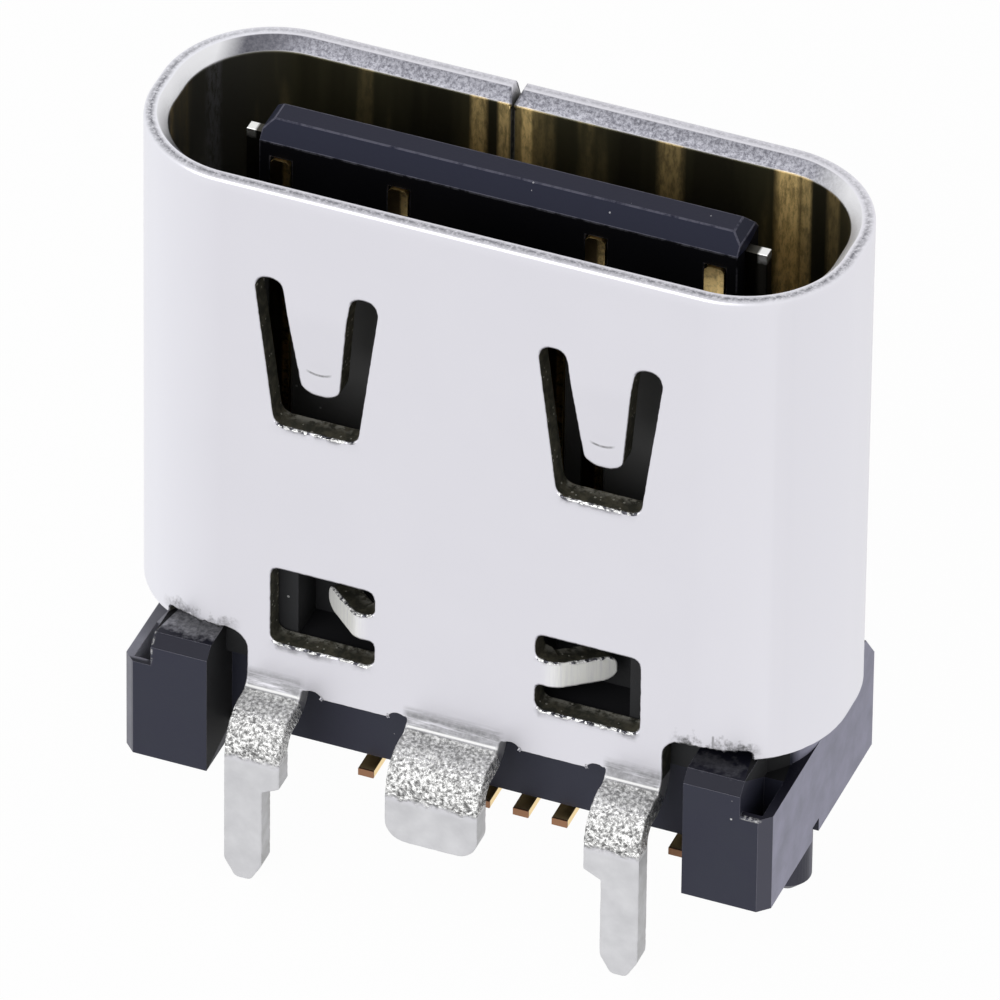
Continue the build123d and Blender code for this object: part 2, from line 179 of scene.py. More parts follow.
def inMillimetres(tree):
    where = addNode(tree, "ShaderNodeTexCoord").outputs["Object"]
    scaled = addNode(tree, "ShaderNodeVectorMath", {0: where}, operation="SCALE")
    scaled.inputs["Scale"].default_value = 1 / millimetre
    return scaled.outputs[0]


def facingOf(tree):
    return splitVector(tree, addNode(tree, "ShaderNodeNewGeometry").outputs["Normal"])


def addBump(tree, height, strength, distance, under=None):
    values = {"Height": height, "Strength": strength, "Distance": distance}
    if under is not None:
        values["Normal"] = under
    return addNode(tree, "ShaderNodeBump", values).outputs[0]


def newGroup(name, inputs, outputs):
    group = bpy.data.node_groups.new(name, "ShaderNodeTree")
    for label, kind, value in inputs:
        socket = group.interface.new_socket(label, in_out="INPUT", socket_type=kind)
        if value is not None:
            socket.default_value = value
    for label, kind in outputs:
        group.interface.new_socket(label, in_out="OUTPUT", socket_type=kind)
    entry = group.nodes.new("NodeGroupInput")
    leave = group.nodes.new("NodeGroupOutput")
    return group, entry.outputs, leave.inputs


def placeGroup(tree, group, values):
    return addNode(tree, "ShaderNodeGroup", values, node_tree=group).outputs


# Shared effects

def makeGrainGroup():
    # fine surface grain with a broad, faint unevenness
    group, given, result = newGroup(
        "surfaceGrain",
        [("Vector", "NodeSocketVector", None), ("Grain Size", "NodeSocketFloat", 60.0),
         ("Patch Size", "NodeSocketFloat", 1.2)],
        [("Height", "NodeSocketFloat"), ("Patches", "NodeSocketFloat")])
    grain = noiseAt(group, given["Vector"], given["Grain Size"], 3.0, 0.6)
    patches = noiseAt(group, given["Vector"], given["Patch Size"], 2.0)
    group.links.new(grain, result["Height"])
    group.links.new(patches, result["Patches"])
    return group


def makeSmudgeGroup():
    # a rubbed mark: an egg-shaped area whose edge breaks up into scratches
    group, given, result = newGroup(
        "rubbedMark",
        [("Vector", "NodeSocketVector", None), ("Middle", "NodeSocketVector", None),
         ("Stretch", "NodeSocketVector", None), ("Breakup", "NodeSocketFloat", 0.5)],
        [("Mask", "NodeSocketFloat")])
    offset = addNode(group, "ShaderNodeVectorMath", {0: given["Vector"], 1: given["Middle"]},
                     operation="SUBTRACT").outputs[0]
    sized = stretched(group, offset, given["Stretch"])
    reach = addNode(group, "ShaderNodeVectorMath", {0: sized}, operation="LENGTH").outputs["Value"]
    fibre = stretchedNoise(group, given["Vector"], (9.0, 9.0, 26.0), 4.0, 0.65)
    ragged = product(group, calc(group, "SUBTRACT", fibre, 0.5), given["Breakup"])
    level = calc(group, "ADD", reach, ragged)
    group.links.new(remap(group, level, 1.0, 0.55), result["Mask"])
    return group


def makeDustGroup():
    # sparse pale specks
    group, given, result = newGroup(
        "dustSpecks",
        [("Vector", "NodeSocketVector", None), ("Spacing", "NodeSocketFloat", 6.0),
         ("Speck", "NodeSocketFloat", 0.10)],
        [("Mask", "NodeSocketFloat")])
    cells = addNode(group, "ShaderNodeTexVoronoi", {"Vector": given["Vector"], "Scale": given["Spacing"]})
    chance = addNode(group, "ShaderNodeSeparateColor", {0: cells.outputs["Color"]}).outputs[0]
    wanted = calc(group, "GREATER_THAN", chance, 0.72)
    near = calc(group, "LESS_THAN", cells.outputs["Distance"], product(group, given["Speck"], chance))
    group.links.new(product(group, near, wanted), result["Mask"])
    return group


def makeWearGroup():
    # bright worn line on moulded or cut edges, broken up along its length
    group, given, result = newGroup(
        "edgeWear",
        [("Vector", "NodeSocketVector", None), ("Edge", "NodeSocketFloat", 0.0),
         ("Amount", "NodeSocketFloat", 0.5)],
        [("Mask", "NodeSocketFloat")])
    broken = noiseAt(group, given["Vector"], 7.0, 4.0, 0.7)
    start = product(group, calc(group, "SUBTRACT", 1.0, given["Amount"]), 0.6)
    kept = calc(group, "MULTIPLY", calc(group, "SUBTRACT", broken, start), 5.0, True)
    group.links.new(product(group, given["Edge"], kept), result["Mask"])
    return group


grainGroup = makeGrainGroup()
smudgeGroup = makeSmudgeGroup()
dustGroup = makeDustGroup()
wearGroup = makeWearGroup()


# Plating of the shell

plating = {
    "tin": (0.756, 0.748, 0.800, 1),
    "tinShade": (0.730, 0.722, 0.775, 1),
    "tinLeftHighlight": (0.84, 0.84, 0.895, 1),         # painted highlight: the left end is paler
    "tinRightHighlight": (0.80, 0.792, 0.845, 1),
    "pinTin": (0.58, 0.58, 0.60, 1),
    "pinPale": (0.69, 0.69, 0.71, 1),
    "pinSide": (0.42, 0.42, 0.42, 1),
    "coined": (0.36, 0.36, 0.40, 1),
    "coinedDark": (0.10, 0.10, 0.12, 1),
    "coinedEnds": (0.80, 0.80, 0.82, 1),
    "rollover": (0.13, 0.13, 0.15, 1),
    "cutOlive": (0.040, 0.040, 0.030, 1),
    "cutBrown": (0.105, 0.098, 0.070, 1),
    "cutSpeck": (0.42, 0.41, 0.36, 1),
    "insideShadeDark": (0.050, 0.046, 0.028, 1),
    "insideShadeOlive": (0.120, 0.112, 0.060, 1),
    "insideGreyReflection": (0.14, 0.135, 0.115, 1),
    "insideGoldReflection": (0.90, 0.66, 0.28, 1),
    "facetShade": (0.12, 0.12, 0.12, 1),
    "highlightWhite": (0.97, 0.97, 0.96, 1),
    "smudgeAndCreaseShade": (0.25, 0.25, 0.26, 1),
    "frayed": (0.10, 0.10, 0.10, 1),
    "tabHighlight": (0.99, 0.99, 0.95, 1),
    "roughness": 0.34,
    "legMiddle": 2.31,                         # places in millimetres
    "scratch": (3.30, 2.12),
    "crescentRadius": 0.30,
    # painted gold reflections inside the rear wall: place along the wall, half width, strength
    "goldReflections": [
        (-2.30, 0.09, 0.16), (-0.88, 0.13, 0.75), (-0.56, 0.10, 0.85), (-0.27, 0.10, 1.0),
        (1.56, 0.20, 0.50), (3.05, 0.20, 1.0), (3.28, 0.10, 0.80), (3.70, 0.14, 0.35),
    ],
}

# The spring fingers' middle, and the middle of the painted crescent of shade on each, in millimetres
fingerPlace = {"middle": 1.80, "crescentMiddle": 6.36}


def wallColour(tree, parts, patches, pinCloud, settings):
    # plain walls, with painted highlights that make both ends paler, and darker pins below
    colour = mixColour(tree, patches, settings["tin"], settings["tinShade"])
    colour = mixColour(tree, remap(tree, parts[0], -3.0, -4.0), colour, settings["tinLeftHighlight"])
    colour = mixColour(tree, remap(tree, parts[0], 3.0, 3.8), colour, settings["tinRightHighlight"])
    pinColour = mixColour(tree, remap(tree, pinCloud, 0.3, 0.7), settings["pinTin"], settings["pinPale"])
    return mixColour(tree, remap(tree, parts[2], 0.75, 0.60), colour, pinColour)


def zoneAboveLegs(tree, parts, fromMiddle, settings):
    # the top of each leg and of the middle tab
    aboveLeg = product(tree, remap(tree, parts[2], 1.16, 1.20), remap(tree, parts[2], 1.54, 1.40))
    onLegs = remap(tree, distanceFrom(tree, fromMiddle, settings["legMiddle"]), 0.40, 0.32)
    inMiddle = product(tree, remap(tree, fromMiddle, 0.66, 0.58), calc(tree, "LESS_THAN", parts[1], 0.0))
    return product(tree, larger(tree, onLegs, inMiddle), aboveLeg)


def rubbedStreaks(tree, vector, zone):
    streak = remap(tree, stretchedNoise(tree, vector, (1.6, 1.6, 22.0), 4.0, 0.75), 0.30, 0.52)
    fleck = remap(tree, noiseAt(tree, vector, 14.0, 3.0, 0.7), 0.30, 0.60, 0.65, 1.0)
    return product(tree, zone, streak, fleck)


def stainAboveBlocks(tree, vector, parts, fromMiddle, settings):
    # stained edge above each end block, and one upright scratch
    stain = stretchedNoise(tree, vector, (5.5, 5.5, 4.0), 5.0, 0.7)
    reach = calc(tree, "SUBTRACT", parts[2], remap(tree, stain, 0.36, 0.66, -0.02, 0.20))
    speck = remap(tree, noiseAt(tree, vector, 20.0, 4.0, 0.75), 0.34, 0.60, 0.25, 1.0)
    band = product(tree, remap(tree, reach, 2.08, 1.96), remap(tree, parts[2], 1.93, 1.95))
    alongBlock = product(tree, remap(tree, fromMiddle, 2.74, 2.95), remap(tree, fromMiddle, 3.86, 3.66))
    band = product(tree, band, alongBlock, speck, remap(tree, parts[0], -3.0, 3.0, 0.60, 0.95))
    across, up = settings["scratch"]
    scratch = product(
        tree, remap(tree, distanceFrom(tree, parts[0], across), 0.018, 0.008),
        calc(tree, "LESS_THAN", parts[1], 0.0), remap(tree, distanceFrom(tree, parts[2], up), 0.11, 0.08))
    return larger(tree, band, product(tree, scratch, 0.6))


def frayedEdge(tree, vector):
    frayNoise = stretchedNoise(tree, vector, (40.0, 40.0, 12.0), 3.0, 0.7)
    return product(tree, attribute(tree, "frayedEdge"), remap(tree, frayNoise, 0.30, 0.50))


def fingerCreaseShade(tree, vector, parts, fromMiddle, settings):
    # painted shade: a grey crescent at the foot of each spring finger's dimple, where its lower lip falls
    # into shade
    aside = calc(tree, "SUBTRACT", fromMiddle, fingerPlace["middle"])
    above = calc(tree, "SUBTRACT", parts[2], fingerPlace["crescentMiddle"])
    squares = calc(tree, "ADD", product(tree, aside, aside), product(tree, above, above))
    reach = calc(tree, "SQRT", squares)
    ring = remap(tree, distanceFrom(tree, reach, settings["crescentRadius"]), 0.022, 0.008)
    low = remap(tree, calc(tree, "ABSOLUTE", aside), 0.17, 0.11)
    worn = remap(tree, noiseAt(tree, vector, 18.0, 3.0, 0.7), 0.3, 0.6, 0.45, 0.95)
    return product(tree, ring, low, calc(tree, "LESS_THAN", above, 0.0), worn)


def facetLightAndShade(tree, vector, settings):
    # painted light and shade on the hammered bends: every facet gets its own painted reflection tone, each
    # nodule is painted darker towards its edges, and painted shade gathers in blotches, deeper towards the
    # foot of the bend
    sway = addNode(tree, "ShaderNodeTexNoise", {"Vector": vector, "Scale": 11.0, "Detail": 2.0})
    swayed = addNode(tree, "ShaderNodeVectorMath", {
        0: sway.outputs["Color"], 1: (0.035, 0.035, 0.035), 2: vector}, operation="MULTIPLY_ADD").outputs[0]
    values = {"Vector": swayed, "Scale": 16.0}
    cells = addNode(tree, "ShaderNodeTexVoronoi", values).outputs["Color"]
    joints = addNode(tree, "ShaderNodeTexVoronoi", values, feature="DISTANCE_TO_EDGE").outputs["Distance"]
    facetReflectionTone = remap(tree, splitVector(tree, cells)[0], 0.0, 0.65, 0.75, 1.10)
    nodule = remap(tree, joints, 0.0, 0.15, 0.72, 1.0)
    blotch = noiseAt(tree, vector, 23.0, 3.0, 0.6)
    darkest = remap(tree, attribute(tree, "facetLowerShade"), 0.0, 1.0, 0.22, 0.02)
    blotchShade = mixValue(tree, remap(tree, blotch, 0.37, 0.65), darkest, 1.15)
    tone = calc(tree, "MULTIPLY", product(tree, facetReflectionTone, nodule), blotchShade, True)
    return mixColour(tree, tone, settings["facetShade"], settings["highlightWhite"]), joints, blotch


def tabHighlightColour(tree, vector, settings):
    # painted highlight on the locking tabs, with fine upright lines
    upright = stretchedNoise(tree, vector, (26.0, 26.0, 1.5), 3.0, 0.6)
    share = remap(tree, upright, 0.45, 0.75, 0.0, 0.6)
    return mixColour(tree, share, settings["tabHighlight"], settings["tinShade"])


def coinedColour(tree, vector, parts, coinGrain, settings):
    # lead-in at the rim, paler at the round ends and dark at the far left
    cloud = stretchedNoise(tree, vector, (2.0, 2.0, 7.0))
    tone = calc(tree, "ADD", remap(tree, coinGrain, 0.38, 0.66), product(tree, cloud, 0.3), True)
    coined = mixColour(tree, tone, settings["coinedDark"], settings["coined"])
    coined = mixColour(tree, remap(tree, parts[0], 3.35, 3.9), coined, settings["coinedEnds"])
    darkCorner = product(
        tree, remap(tree, parts[0], -2.9, -3.6), calc(tree, "GREATER_THAN", parts[1], 0.0), 0.7)
    coined = mixColour(tree, darkCorner, coined, settings["coinedDark"])
    return mixColour(tree, remap(tree, parts[0], -3.80, -4.05), coined, settings["coinedEnds"])


def rimShade(tree, vector, parts):
    # speckled dark line on the rim, fainter at the rear
    speck = remap(tree, noiseAt(tree, vector, 17.0, 4.0, 0.75), 0.36, 0.56, 0.25, 1.0)
    share = remap(tree, parts[1], 0.0, 1.2, 0.88, 0.45)
    return product(tree, attribute(tree, "rimLine"), speck, share)


def insideShadeAndReflections(tree, vector, parts, settings):
    # painted shade and reflections: the inside is painted dark olive as shade, greyer at the left end, with
    # painted upright gold reflections on the rear wall
    shade = stretchedNoise(tree, vector, (1.3, 1.3, 0.12), 3.0, 0.6)
    inside = mixColour(tree, remap(tree, shade, 0.42, 0.68), settings["insideShadeDark"], settings["insideShadeOlive"])
    fine = remap(tree, stretchedNoise(tree, vector, (20.0, 20.0, 6.0), 4.0, 0.75), 0.38, 0.58)
    inside = mixColour(tree, remap(tree, parts[0], -3.2, -4.0), inside, settings["insideGreyReflection"])
    greyStreak = remap(tree, distanceFrom(tree, parts[0], -4.03), 0.07, 0.03)
    greyStreak = product(tree, greyStreak, product(tree, fine, 0.7))
    inside = mixColour(tree, greyStreak, inside, settings["coined"])
    rearOnly = calc(tree, "GREATER_THAN", parts[1], 0.0)
    gold = product(tree, remap(tree, shade, 0.58, 0.75), 0.5)
    for place, halfWidth, strength in settings["goldReflections"]:
        distance = distanceFrom(tree, parts[0], place)
        light = remap(tree, distance, halfWidth, halfWidth * 0.5, 0.0, strength)
        gold = larger(tree, gold, product(tree, light, rearOnly))
    gold = product(tree, gold, remap(tree, fine, 0.0, 1.0, 0.50, 1.0))
    return mixColour(tree, gold, inside, settings["insideGoldReflection"]), gold


def cutColour(tree, vector, cutGrain, settings):
    # sheared cut faces
    cut = mixColour(tree, remap(tree, cutGrain, 0.42, 0.62), settings["cutOlive"], settings["cutBrown"])
    specks = placeGroup(tree, dustGroup, {"Vector": vector, "Spacing": 14.0, "Speck": 0.24})["Mask"]
    return mixColour(tree, specks, cut, settings["cutSpeck"])


def burrGlints(tree, vector, settings):
    # crumbled burr on the lower lips, its grains painted with glints and shade
    cells = addNode(tree, "ShaderNodeTexVoronoi", {"Vector": vector, "Scale": 24.0}).outputs["Color"]
    tone = remap(tree, splitVector(tree, cells)[1], 0.30, 0.50)
    return mixColour(tree, tone, settings["coinedDark"], settings["highlightWhite"])


def makePlating(settings):
    material, tree = newMaterial("tinPlating")
    vector = inMillimetres(tree)
    parts = splitVector(tree, vector)
    fromMiddle = calc(tree, "ABSOLUTE", parts[0])
    grain = placeGroup(tree, grainGroup, {"Vector": vector, "Grain Size": 45.0, "Patch Size": 0.9})
    pinCloud = noiseAt(tree, vector, 3.0, 3.0, 0.6)
    coinGrain = noiseAt(tree, vector, 22.0, 4.0, 0.75)
    cutGrain = noiseAt(tree, vector, 9.0, 4.0, 0.7)
    hammered = attribute(tree, "hammered")
    tabHighlightMask = attribute(tree, "tabHighlightMask")
    leadIn = attribute(tree, "leadIn")
    innerFace = attribute(tree, "innerFace")
    cutFace = attribute(tree, "cutFace")
    burr = attribute(tree, "lipBurr")

    # wear on the outer walls, and the painted shade of the finger crescents
    colour = wallColour(tree, parts, grain["Patches"], pinCloud, settings)
    rubbedZone = zoneAboveLegs(tree, parts, fromMiddle, settings)
    rubbed = rubbedStreaks(tree, vector, rubbedZone)
    colour = mixColour(tree, product(tree, rubbed, 0.9), colour, settings["smudgeAndCreaseShade"])
    stain = stainAboveBlocks(tree, vector, parts, fromMiddle, settings)
    colour = mixColour(tree, stain, colour, settings["frayed"])
    colour = mixColour(tree, frayedEdge(tree, vector), colour, settings["frayed"])
    crescent = fingerCreaseShade(tree, vector, parts, fromMiddle, settings)
    colour = mixColour(tree, crescent, colour, settings["smudgeAndCreaseShade"])

    # bends, with painted facet light and shade, a painted highlight line above the facets, and the painted
    # highlight on the locking tabs
    facetLight, joints, blotch = facetLightAndShade(tree, vector, settings)
    colour = mixColour(tree, hammered, colour, facetLight)
    colour = mixColour(tree, attribute(tree, "brightLine"), colour, settings["highlightWhite"])
    colour = mixColour(tree, tabHighlightMask, colour, tabHighlightColour(tree, vector, settings))

    # edges of the openings, the rim, and the inside with its painted shade and reflections
    rollNoise = remap(tree, noiseAt(tree, vector, 12.0, 3.0, 0.6), 0.3, 0.6, 0.35, 1.0)
    rolled = product(tree, attribute(tree, "rollover"), rollNoise)
    colour = mixColour(tree, rolled, colour, settings["rollover"])
    colour = mixColour(tree, leadIn, colour, coinedColour(tree, vector, parts, coinGrain, settings))
    colour = mixColour(tree, rimShade(tree, vector, parts), colour, settings["coinedDark"])
    inside, gold = insideShadeAndReflections(tree, vector, parts, settings)
    colour = mixColour(tree, innerFace, colour, inside)
    colour = mixColour(tree, cutFace, colour, cutColour(tree, vector, cutGrain, settings))
    sideCloud = mixColour(tree, remap(tree, pinCloud, 0.35, 0.65), settings["pinSide"], settings["pinTin"])
    pinSide = product(tree, attribute(tree, "pinSide"), calc(tree, "SUBTRACT", 1.0, hammered))
    colour = mixColour(tree, pinSide, colour, sideCloud)
    lipNoise = remap(tree, noiseAt(tree, vector, 10.0, 3.0, 0.7), 0.42, 0.58)
    lip = product(tree, attribute(tree, "innerLip"), lipNoise)
    colour = mixColour(tree, lip, colour, settings["cutSpeck"])
    colour = mixColour(tree, burr, colour, burrGlints(tree, vector, settings))

    rough = settings["roughness"]
    for mask, value in ((hammered, 0.27), (leadIn, 0.42), (rubbed, 0.60), (cutFace, 0.60), (burr, 0.25)):
        rough = mixValue(tree, mask, rough, value)
    goldDull = calc(tree, "ADD", 0.25, product(tree, gold, 0.5))
    dull = product(tree, cutFace, 0.6)
    for mask, share in (
            (pinSide, 0.5), (hammered, 0.12), (tabHighlightMask, 0.90), (rubbedZone, 0.80), (innerFace, goldDull),
            (burr, 0.35)):
        dull = larger(tree, dull, product(tree, mask, share))
    bump = addBump(tree, grain["Height"], 0.10, 0.000004)
    nodules = mixValue(tree, hammered, product(tree, joints, burr), blotch)
    bump = addBump(tree, nodules, 0.8, 0.000045, bump)
    bump = addBump(tree, product(tree, coinGrain, leadIn), 0.5, 0.000010, bump)
    bump = addBump(tree, product(tree, cutGrain, cutFace), 0.6, 0.000012, bump)
    shader = addNode(tree, "ShaderNodeBsdfPrincipled", {
        "Base Color": colour, "Metallic": calc(tree, "SUBTRACT", 1.0, dull), "Roughness": rough,
        "Normal": bump})
    addNode(tree, "ShaderNodeOutputMaterial", {"Surface": shader.outputs[0]})
    return material


# Moulded plastics

housingMoulding = {
    "body": (0.022, 0.022, 0.040, 1),
    "bodyPatch": (0.026, 0.029, 0.042, 1),
    "upwardShading": (0.006, 0.006, 0.012, 1),         # painted shade: faces that look up are darker
    "upwardShadingFrom": 0.25,
    "slotBandLight": (0.022, 0.022, 0.040, 1),
    "nearRimShade": (0.022, 0.022, 0.040, 1),
    "peg": (0.060, 0.060, 0.080, 1),
    "rightEndLight": (0.43, 0.425, 0.56, 1),        # painted light: the face looking right is paler
    "leftEdge": (0.20, 0.20, 0.23, 1),
    # painted light in the shaded left pocket, stronger on its wall
    "leftPocketLight": (0.30, 0.30, 0.35, 1),
    "pocketWallLight": (0.92, 0.92, 1.0, 1),
    "cornerFaceLight": (0.080, 0.080, 0.106, 1),    # painted light: the cut corner of the right end is lighter
    "worn": (0.30, 0.30, 0.35, 1),
    "dust": (0.60, 0.60, 0.60, 1),
    "dustSpacing": 3.2,
    "scuff": (0.40, 0.40, 0.44, 1),
    "scuffs": [                            # middle, stretch, breakup, strength
        ((-3.45, -1.45, 1.95), (1.1, 3.4, 3.2), 1.2, 1.0),
        ((3.25, -1.56, 1.88), (1.3, 5.0, 6.0), 2.4, 0.16),
    ],
    "roughness": 0.48,
    "specular": 0.32,
    "uprightEdge": 3.79,
    "wearAmount": 0.75,
}
tongueMoulding = {
    "body": (0.016, 0.017, 0.034, 1),
    "bodyPatch": (0.022, 0.024, 0.044, 1),
    # painted light: the tongue's upward faces are lighter
    "upwardShading": (0.021, 0.022, 0.042, 1),
    "upwardShadingFrom": 0.75,
    "slotBandLight": (0.016, 0.017, 0.034, 1),
    "nearRimShade": (0.012, 0.014, 0.031, 1),
    "peg": (0.016, 0.017, 0.034, 1),
    "rightEndLight": (0.034, 0.035, 0.056, 1),
    "leftEdge": (0.012, 0.013, 0.024, 1),
    "leftPocketLight": (0.012, 0.013, 0.024, 1),
    "pocketWallLight": (0.012, 0.013, 0.024, 1),
    "cornerFaceLight": (0.012, 0.013, 0.024, 1),
    "worn": (0.12, 0.12, 0.16, 1),
    "dust": (0.45, 0.45, 0.48, 1),
    "dustSpacing": 5.0,
    "scuff": (0.050, 0.050, 0.075, 1),
    "scuffs": [
        ((-2.0, -0.35, 8.05), (0.55, 4.0, 4.0), 1.5, 0.5),
        ((1.5, -0.35, 8.05), (0.60, 4.0, 4.0), 1.5, 0.5),
    ],
    "roughness": 0.42,
    "specular": 0.16,
    "uprightEdge": 4.02,
    "wearAmount": 0.45,
}
shadowedMoulding = {                       # painted shade: a darker copy for walls that only face the dark inside, with painted light where some are seen lit
    "body": (0.038, 0.039, 0.041, 1),
    "bodyPatch": (0.030, 0.030, 0.031, 1),
    "upwardShading": (0.020, 0.020, 0.022, 1),
    "upwardShadingFrom": 0.25,
    # painted light on the tongue's flanks seen through the slots
    "slotBandLight": (0.105, 0.105, 0.105, 1),
    "nearRimShade": (0.003, 0.003, 0.004, 1),       # painted shade on the tongue's flanks below its tip
    "peg": (0.006, 0.006, 0.008, 1),
    "rightEndLight": (0.006, 0.006, 0.008, 1),
    "leftEdge": (0.006, 0.006, 0.008, 1),
    "leftPocketLight": (0.60, 0.60, 0.68, 1),
    "pocketWallLight": (0.60, 0.60, 0.68, 1),
    "cornerFaceLight": (0.006, 0.006, 0.008, 1),
    "worn": (0.06, 0.06, 0.07, 1),
    "dust": (0.30, 0.30, 0.30, 1),
    "dustSpacing": 3.2,
    "scuff": (0.05, 0.05, 0.05, 1),
    "scuffs": [],
    "roughness": 0.60,
    "specular": 0.07,
    "uprightEdge": 4.02,
    "wearAmount": 0.30,
}
lipHeight = 1.40          # the lip of the pocket beside each end block, in millimetres


def paintEnds(tree, place, facing, cloud, colour, settings):
    # the pegs, the housing's two ends, and painted light on the right end, in the shaded left pocket and on
    # the cut corner
    colour = mixColour(tree, remap(tree, place[2], 0.0, -0.05), colour, settings["peg"])
    for low, high, edge, paint in (
            (0.78, 0.90, 4.00, settings["rightEndLight"]), (-0.50, -0.65, -4.00, settings["leftEdge"])):
        looks = remap(tree, facing[0], low, high)
        beyond = remap(tree, place[0], edge, edge * 1.015)
        colour = mixColour(tree, product(tree, looks, beyond, cloud), colour, paint)
    pocket = product(
        tree, remap(tree, place[0], -3.84, -3.88), remap(tree, place[2], 0.90, 0.94),
        remap(tree, place[1], -1.84, -1.80), calc(tree, "LESS_THAN", place[1], 0.0),
        remap(tree, facing[0], -0.50, -0.30), cloud)
    wallShare = remap(tree, facing[0], 0.4, 0.6)
    pocketLightColour = mixColour(tree, wallShare, settings["leftPocketLight"], settings["pocketWallLight"])
    colour = mixColour(tree, pocket, colour, pocketLightColour)
    corner = product(
        tree, remap(tree, facing[0], 0.50, 0.60), remap(tree, facing[1], -0.50, -0.60),
        calc(tree, "GREATER_THAN", place[0], 4.0))
    return mixColour(tree, corner, colour, settings["cornerFaceLight"])


def chippedRims(tree, vector, place, uprightEdge):
    # light chips: the lip of the right end's pocket, and the upright edge beside the left one
    chips = remap(tree, noiseAt(tree, vector, 15.0, 3.0, 0.7), 0.46, 0.58)
    lip = product(
        tree, remap(tree, place[2], lipHeight - 0.05, lipHeight - 0.03),
        remap(tree, place[2], lipHeight + 0.04, lipHeight + 0.02),
        remap(tree, place[0], 3.78, 3.82), remap(tree, place[1], -1.85, -1.87))
    beside = remap(tree, distanceFrom(tree, place[0], -uprightEdge), 0.035, 0.02)
    beside = product(tree, beside, remap(tree, place[2], 1.40, 1.46, 0.0, 0.8))
    return product(tree, larger(tree, lip, beside), chips)


def makeMoulding(name, settings):
    material, tree = newMaterial(name)
    vector = inMillimetres(tree)
    place = splitVector(tree, vector)
    facing = facingOf(tree)
    grain = placeGroup(tree, grainGroup, {"Vector": vector, "Grain Size": 30.0, "Patch Size": 1.6})
    cloud = remap(tree, noiseAt(tree, vector, 2.2, 4.0, 0.6), 0.3, 0.7, 0.70, 1.0)

    colour = mixColour(tree, grain["Patches"], settings["body"], settings["bodyPatch"])
    # painted light and shade by height: the band beside the slots and the band near the rim
    colour = mixColour(tree, remap(tree, place[2], 3.6, 4.4), colour, settings["slotBandLight"])
    colour = mixColour(tree, remap(tree, place[2], 7.45, 7.75), colour, settings["nearRimShade"])
    # painted light and shade on faces that look up
    upward = remap(tree, facing[2], settings["upwardShadingFrom"], settings["upwardShadingFrom"] + 0.2)
    colour = mixColour(tree, upward, colour, settings["upwardShading"])
    colour = paintEnds(tree, place, facing, cloud, colour, settings)
    for middle, stretch, breakup, most in settings["scuffs"]:
        mask = placeGroup(tree, smudgeGroup, {
            "Vector": vector, "Middle": middle, "Stretch": stretch, "Breakup": breakup})["Mask"]
        fleck = remap(tree, noiseAt(tree, vector, 16.0, 4.0, 0.75), 0.36, 0.62, 0.40, 1.0)
        colour = mixColour(tree, product(tree, mask, fleck, most), colour, settings["scuff"])
    wear = placeGroup(tree, wearGroup, {
        "Vector": vector, "Edge": attribute(tree, "edgeFace"), "Amount": settings["wearAmount"]})["Mask"]
    colour = mixColour(tree, wear, colour, settings["worn"])
    chipped = chippedRims(tree, vector, place, settings["uprightEdge"])
    colour = mixColour(tree, chipped, colour, settings["dust"])
    specks = placeGroup(tree, dustGroup, {
        "Vector": vector, "Spacing": settings["dustSpacing"], "Speck": 0.07})["Mask"]
    colour = mixColour(tree, specks, colour, settings["dust"])
    shader = addNode(tree, "ShaderNodeBsdfPrincipled", {
        "Base Color": colour, "Metallic": 0.0, "Roughness": settings["roughness"], "IOR": 1.5,
        "Specular IOR Level": settings["specular"], "Specular Tint": (0.86, 0.87, 1.0, 1),
        "Normal": addBump(tree, grain["Height"], 0.25, 0.000006)})
    addNode(tree, "ShaderNodeOutputMaterial", {"Surface": shader.outputs[0]})
    return material


# Gold of the contacts and steel of the plate

contactFinish = {
    "gold": (0.92, 0.68, 0.30, 1),             # the edges that catch the light
    "goldShade": (0.22, 0.155, 0.075, 1),
    "goldPatch": (0.13, 0.095, 0.055, 1),
    "copper": (0.31, 0.165, 0.095, 1),
    "pitch": 0.5,
    "cutFrom": 1.235,      # millimetres from the middle, where the sheared tail ends start
}


def makeContactGold(settings):
    material, tree = newMaterial("contactGold")
    vector = inMillimetres(tree)
    place = splitVector(tree, vector)
    facing = facingOf(tree)
    grain = placeGroup(tree, grainGroup, {"Vector": vector, "Grain Size": 40.0, "Patch Size": 5.0})
    colour = mixColour(tree, grain["Patches"], settings["goldShade"], settings["goldPatch"])
    lit = larger(tree, remap(tree, facing[0], 0.15, 0.55), remap(tree, facing[2], 0.35, 0.70))
    column = calc(tree, "FRACT", calc(tree, "DIVIDE", place[0], settings["pitch"]))    # 0.5 is mid-blade
    brightSide = remap(tree, column, 0.54, 0.60)
    wholeBright = remap(tree, place[0], 2.30, 2.45, 0.0, 0.75)
    fleck = remap(tree, noiseAt(tree, vector, 12.0, 3.0, 0.7), 0.30, 0.55, 0.35, 1.0)
    lit = larger(tree, lit, product(tree, larger(tree, brightSide, wholeBright), fleck))
    colour = mixColour(tree, lit, colour, settings["gold"])
    end = calc(tree, "GREATER_THAN", calc(tree, "ABSOLUTE", place[1]), settings["cutFrom"])
    colour = mixColour(tree, end, colour, settings["copper"])
    shader = addNode(tree, "ShaderNodeBsdfPrincipled", {
        "Base Color": colour, "Metallic": 1.0, "Roughness": mixValue(tree, end, 0.28, 0.5),
        "Normal": addBump(tree, grain["Height"], 0.2, 0.000004)})
    addNode(tree, "ShaderNodeOutputMaterial", {"Surface": shader.outputs[0]})
    return material


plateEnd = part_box("mid_plate")[1].x / millimetre
plateFinish = {
    "steel": (0.85, 0.85, 0.84, 1),
    "steelShade": (0.050, 0.047, 0.040, 1),     # flanks that only face the dark inside
    "brightFrom": 8.24,
}


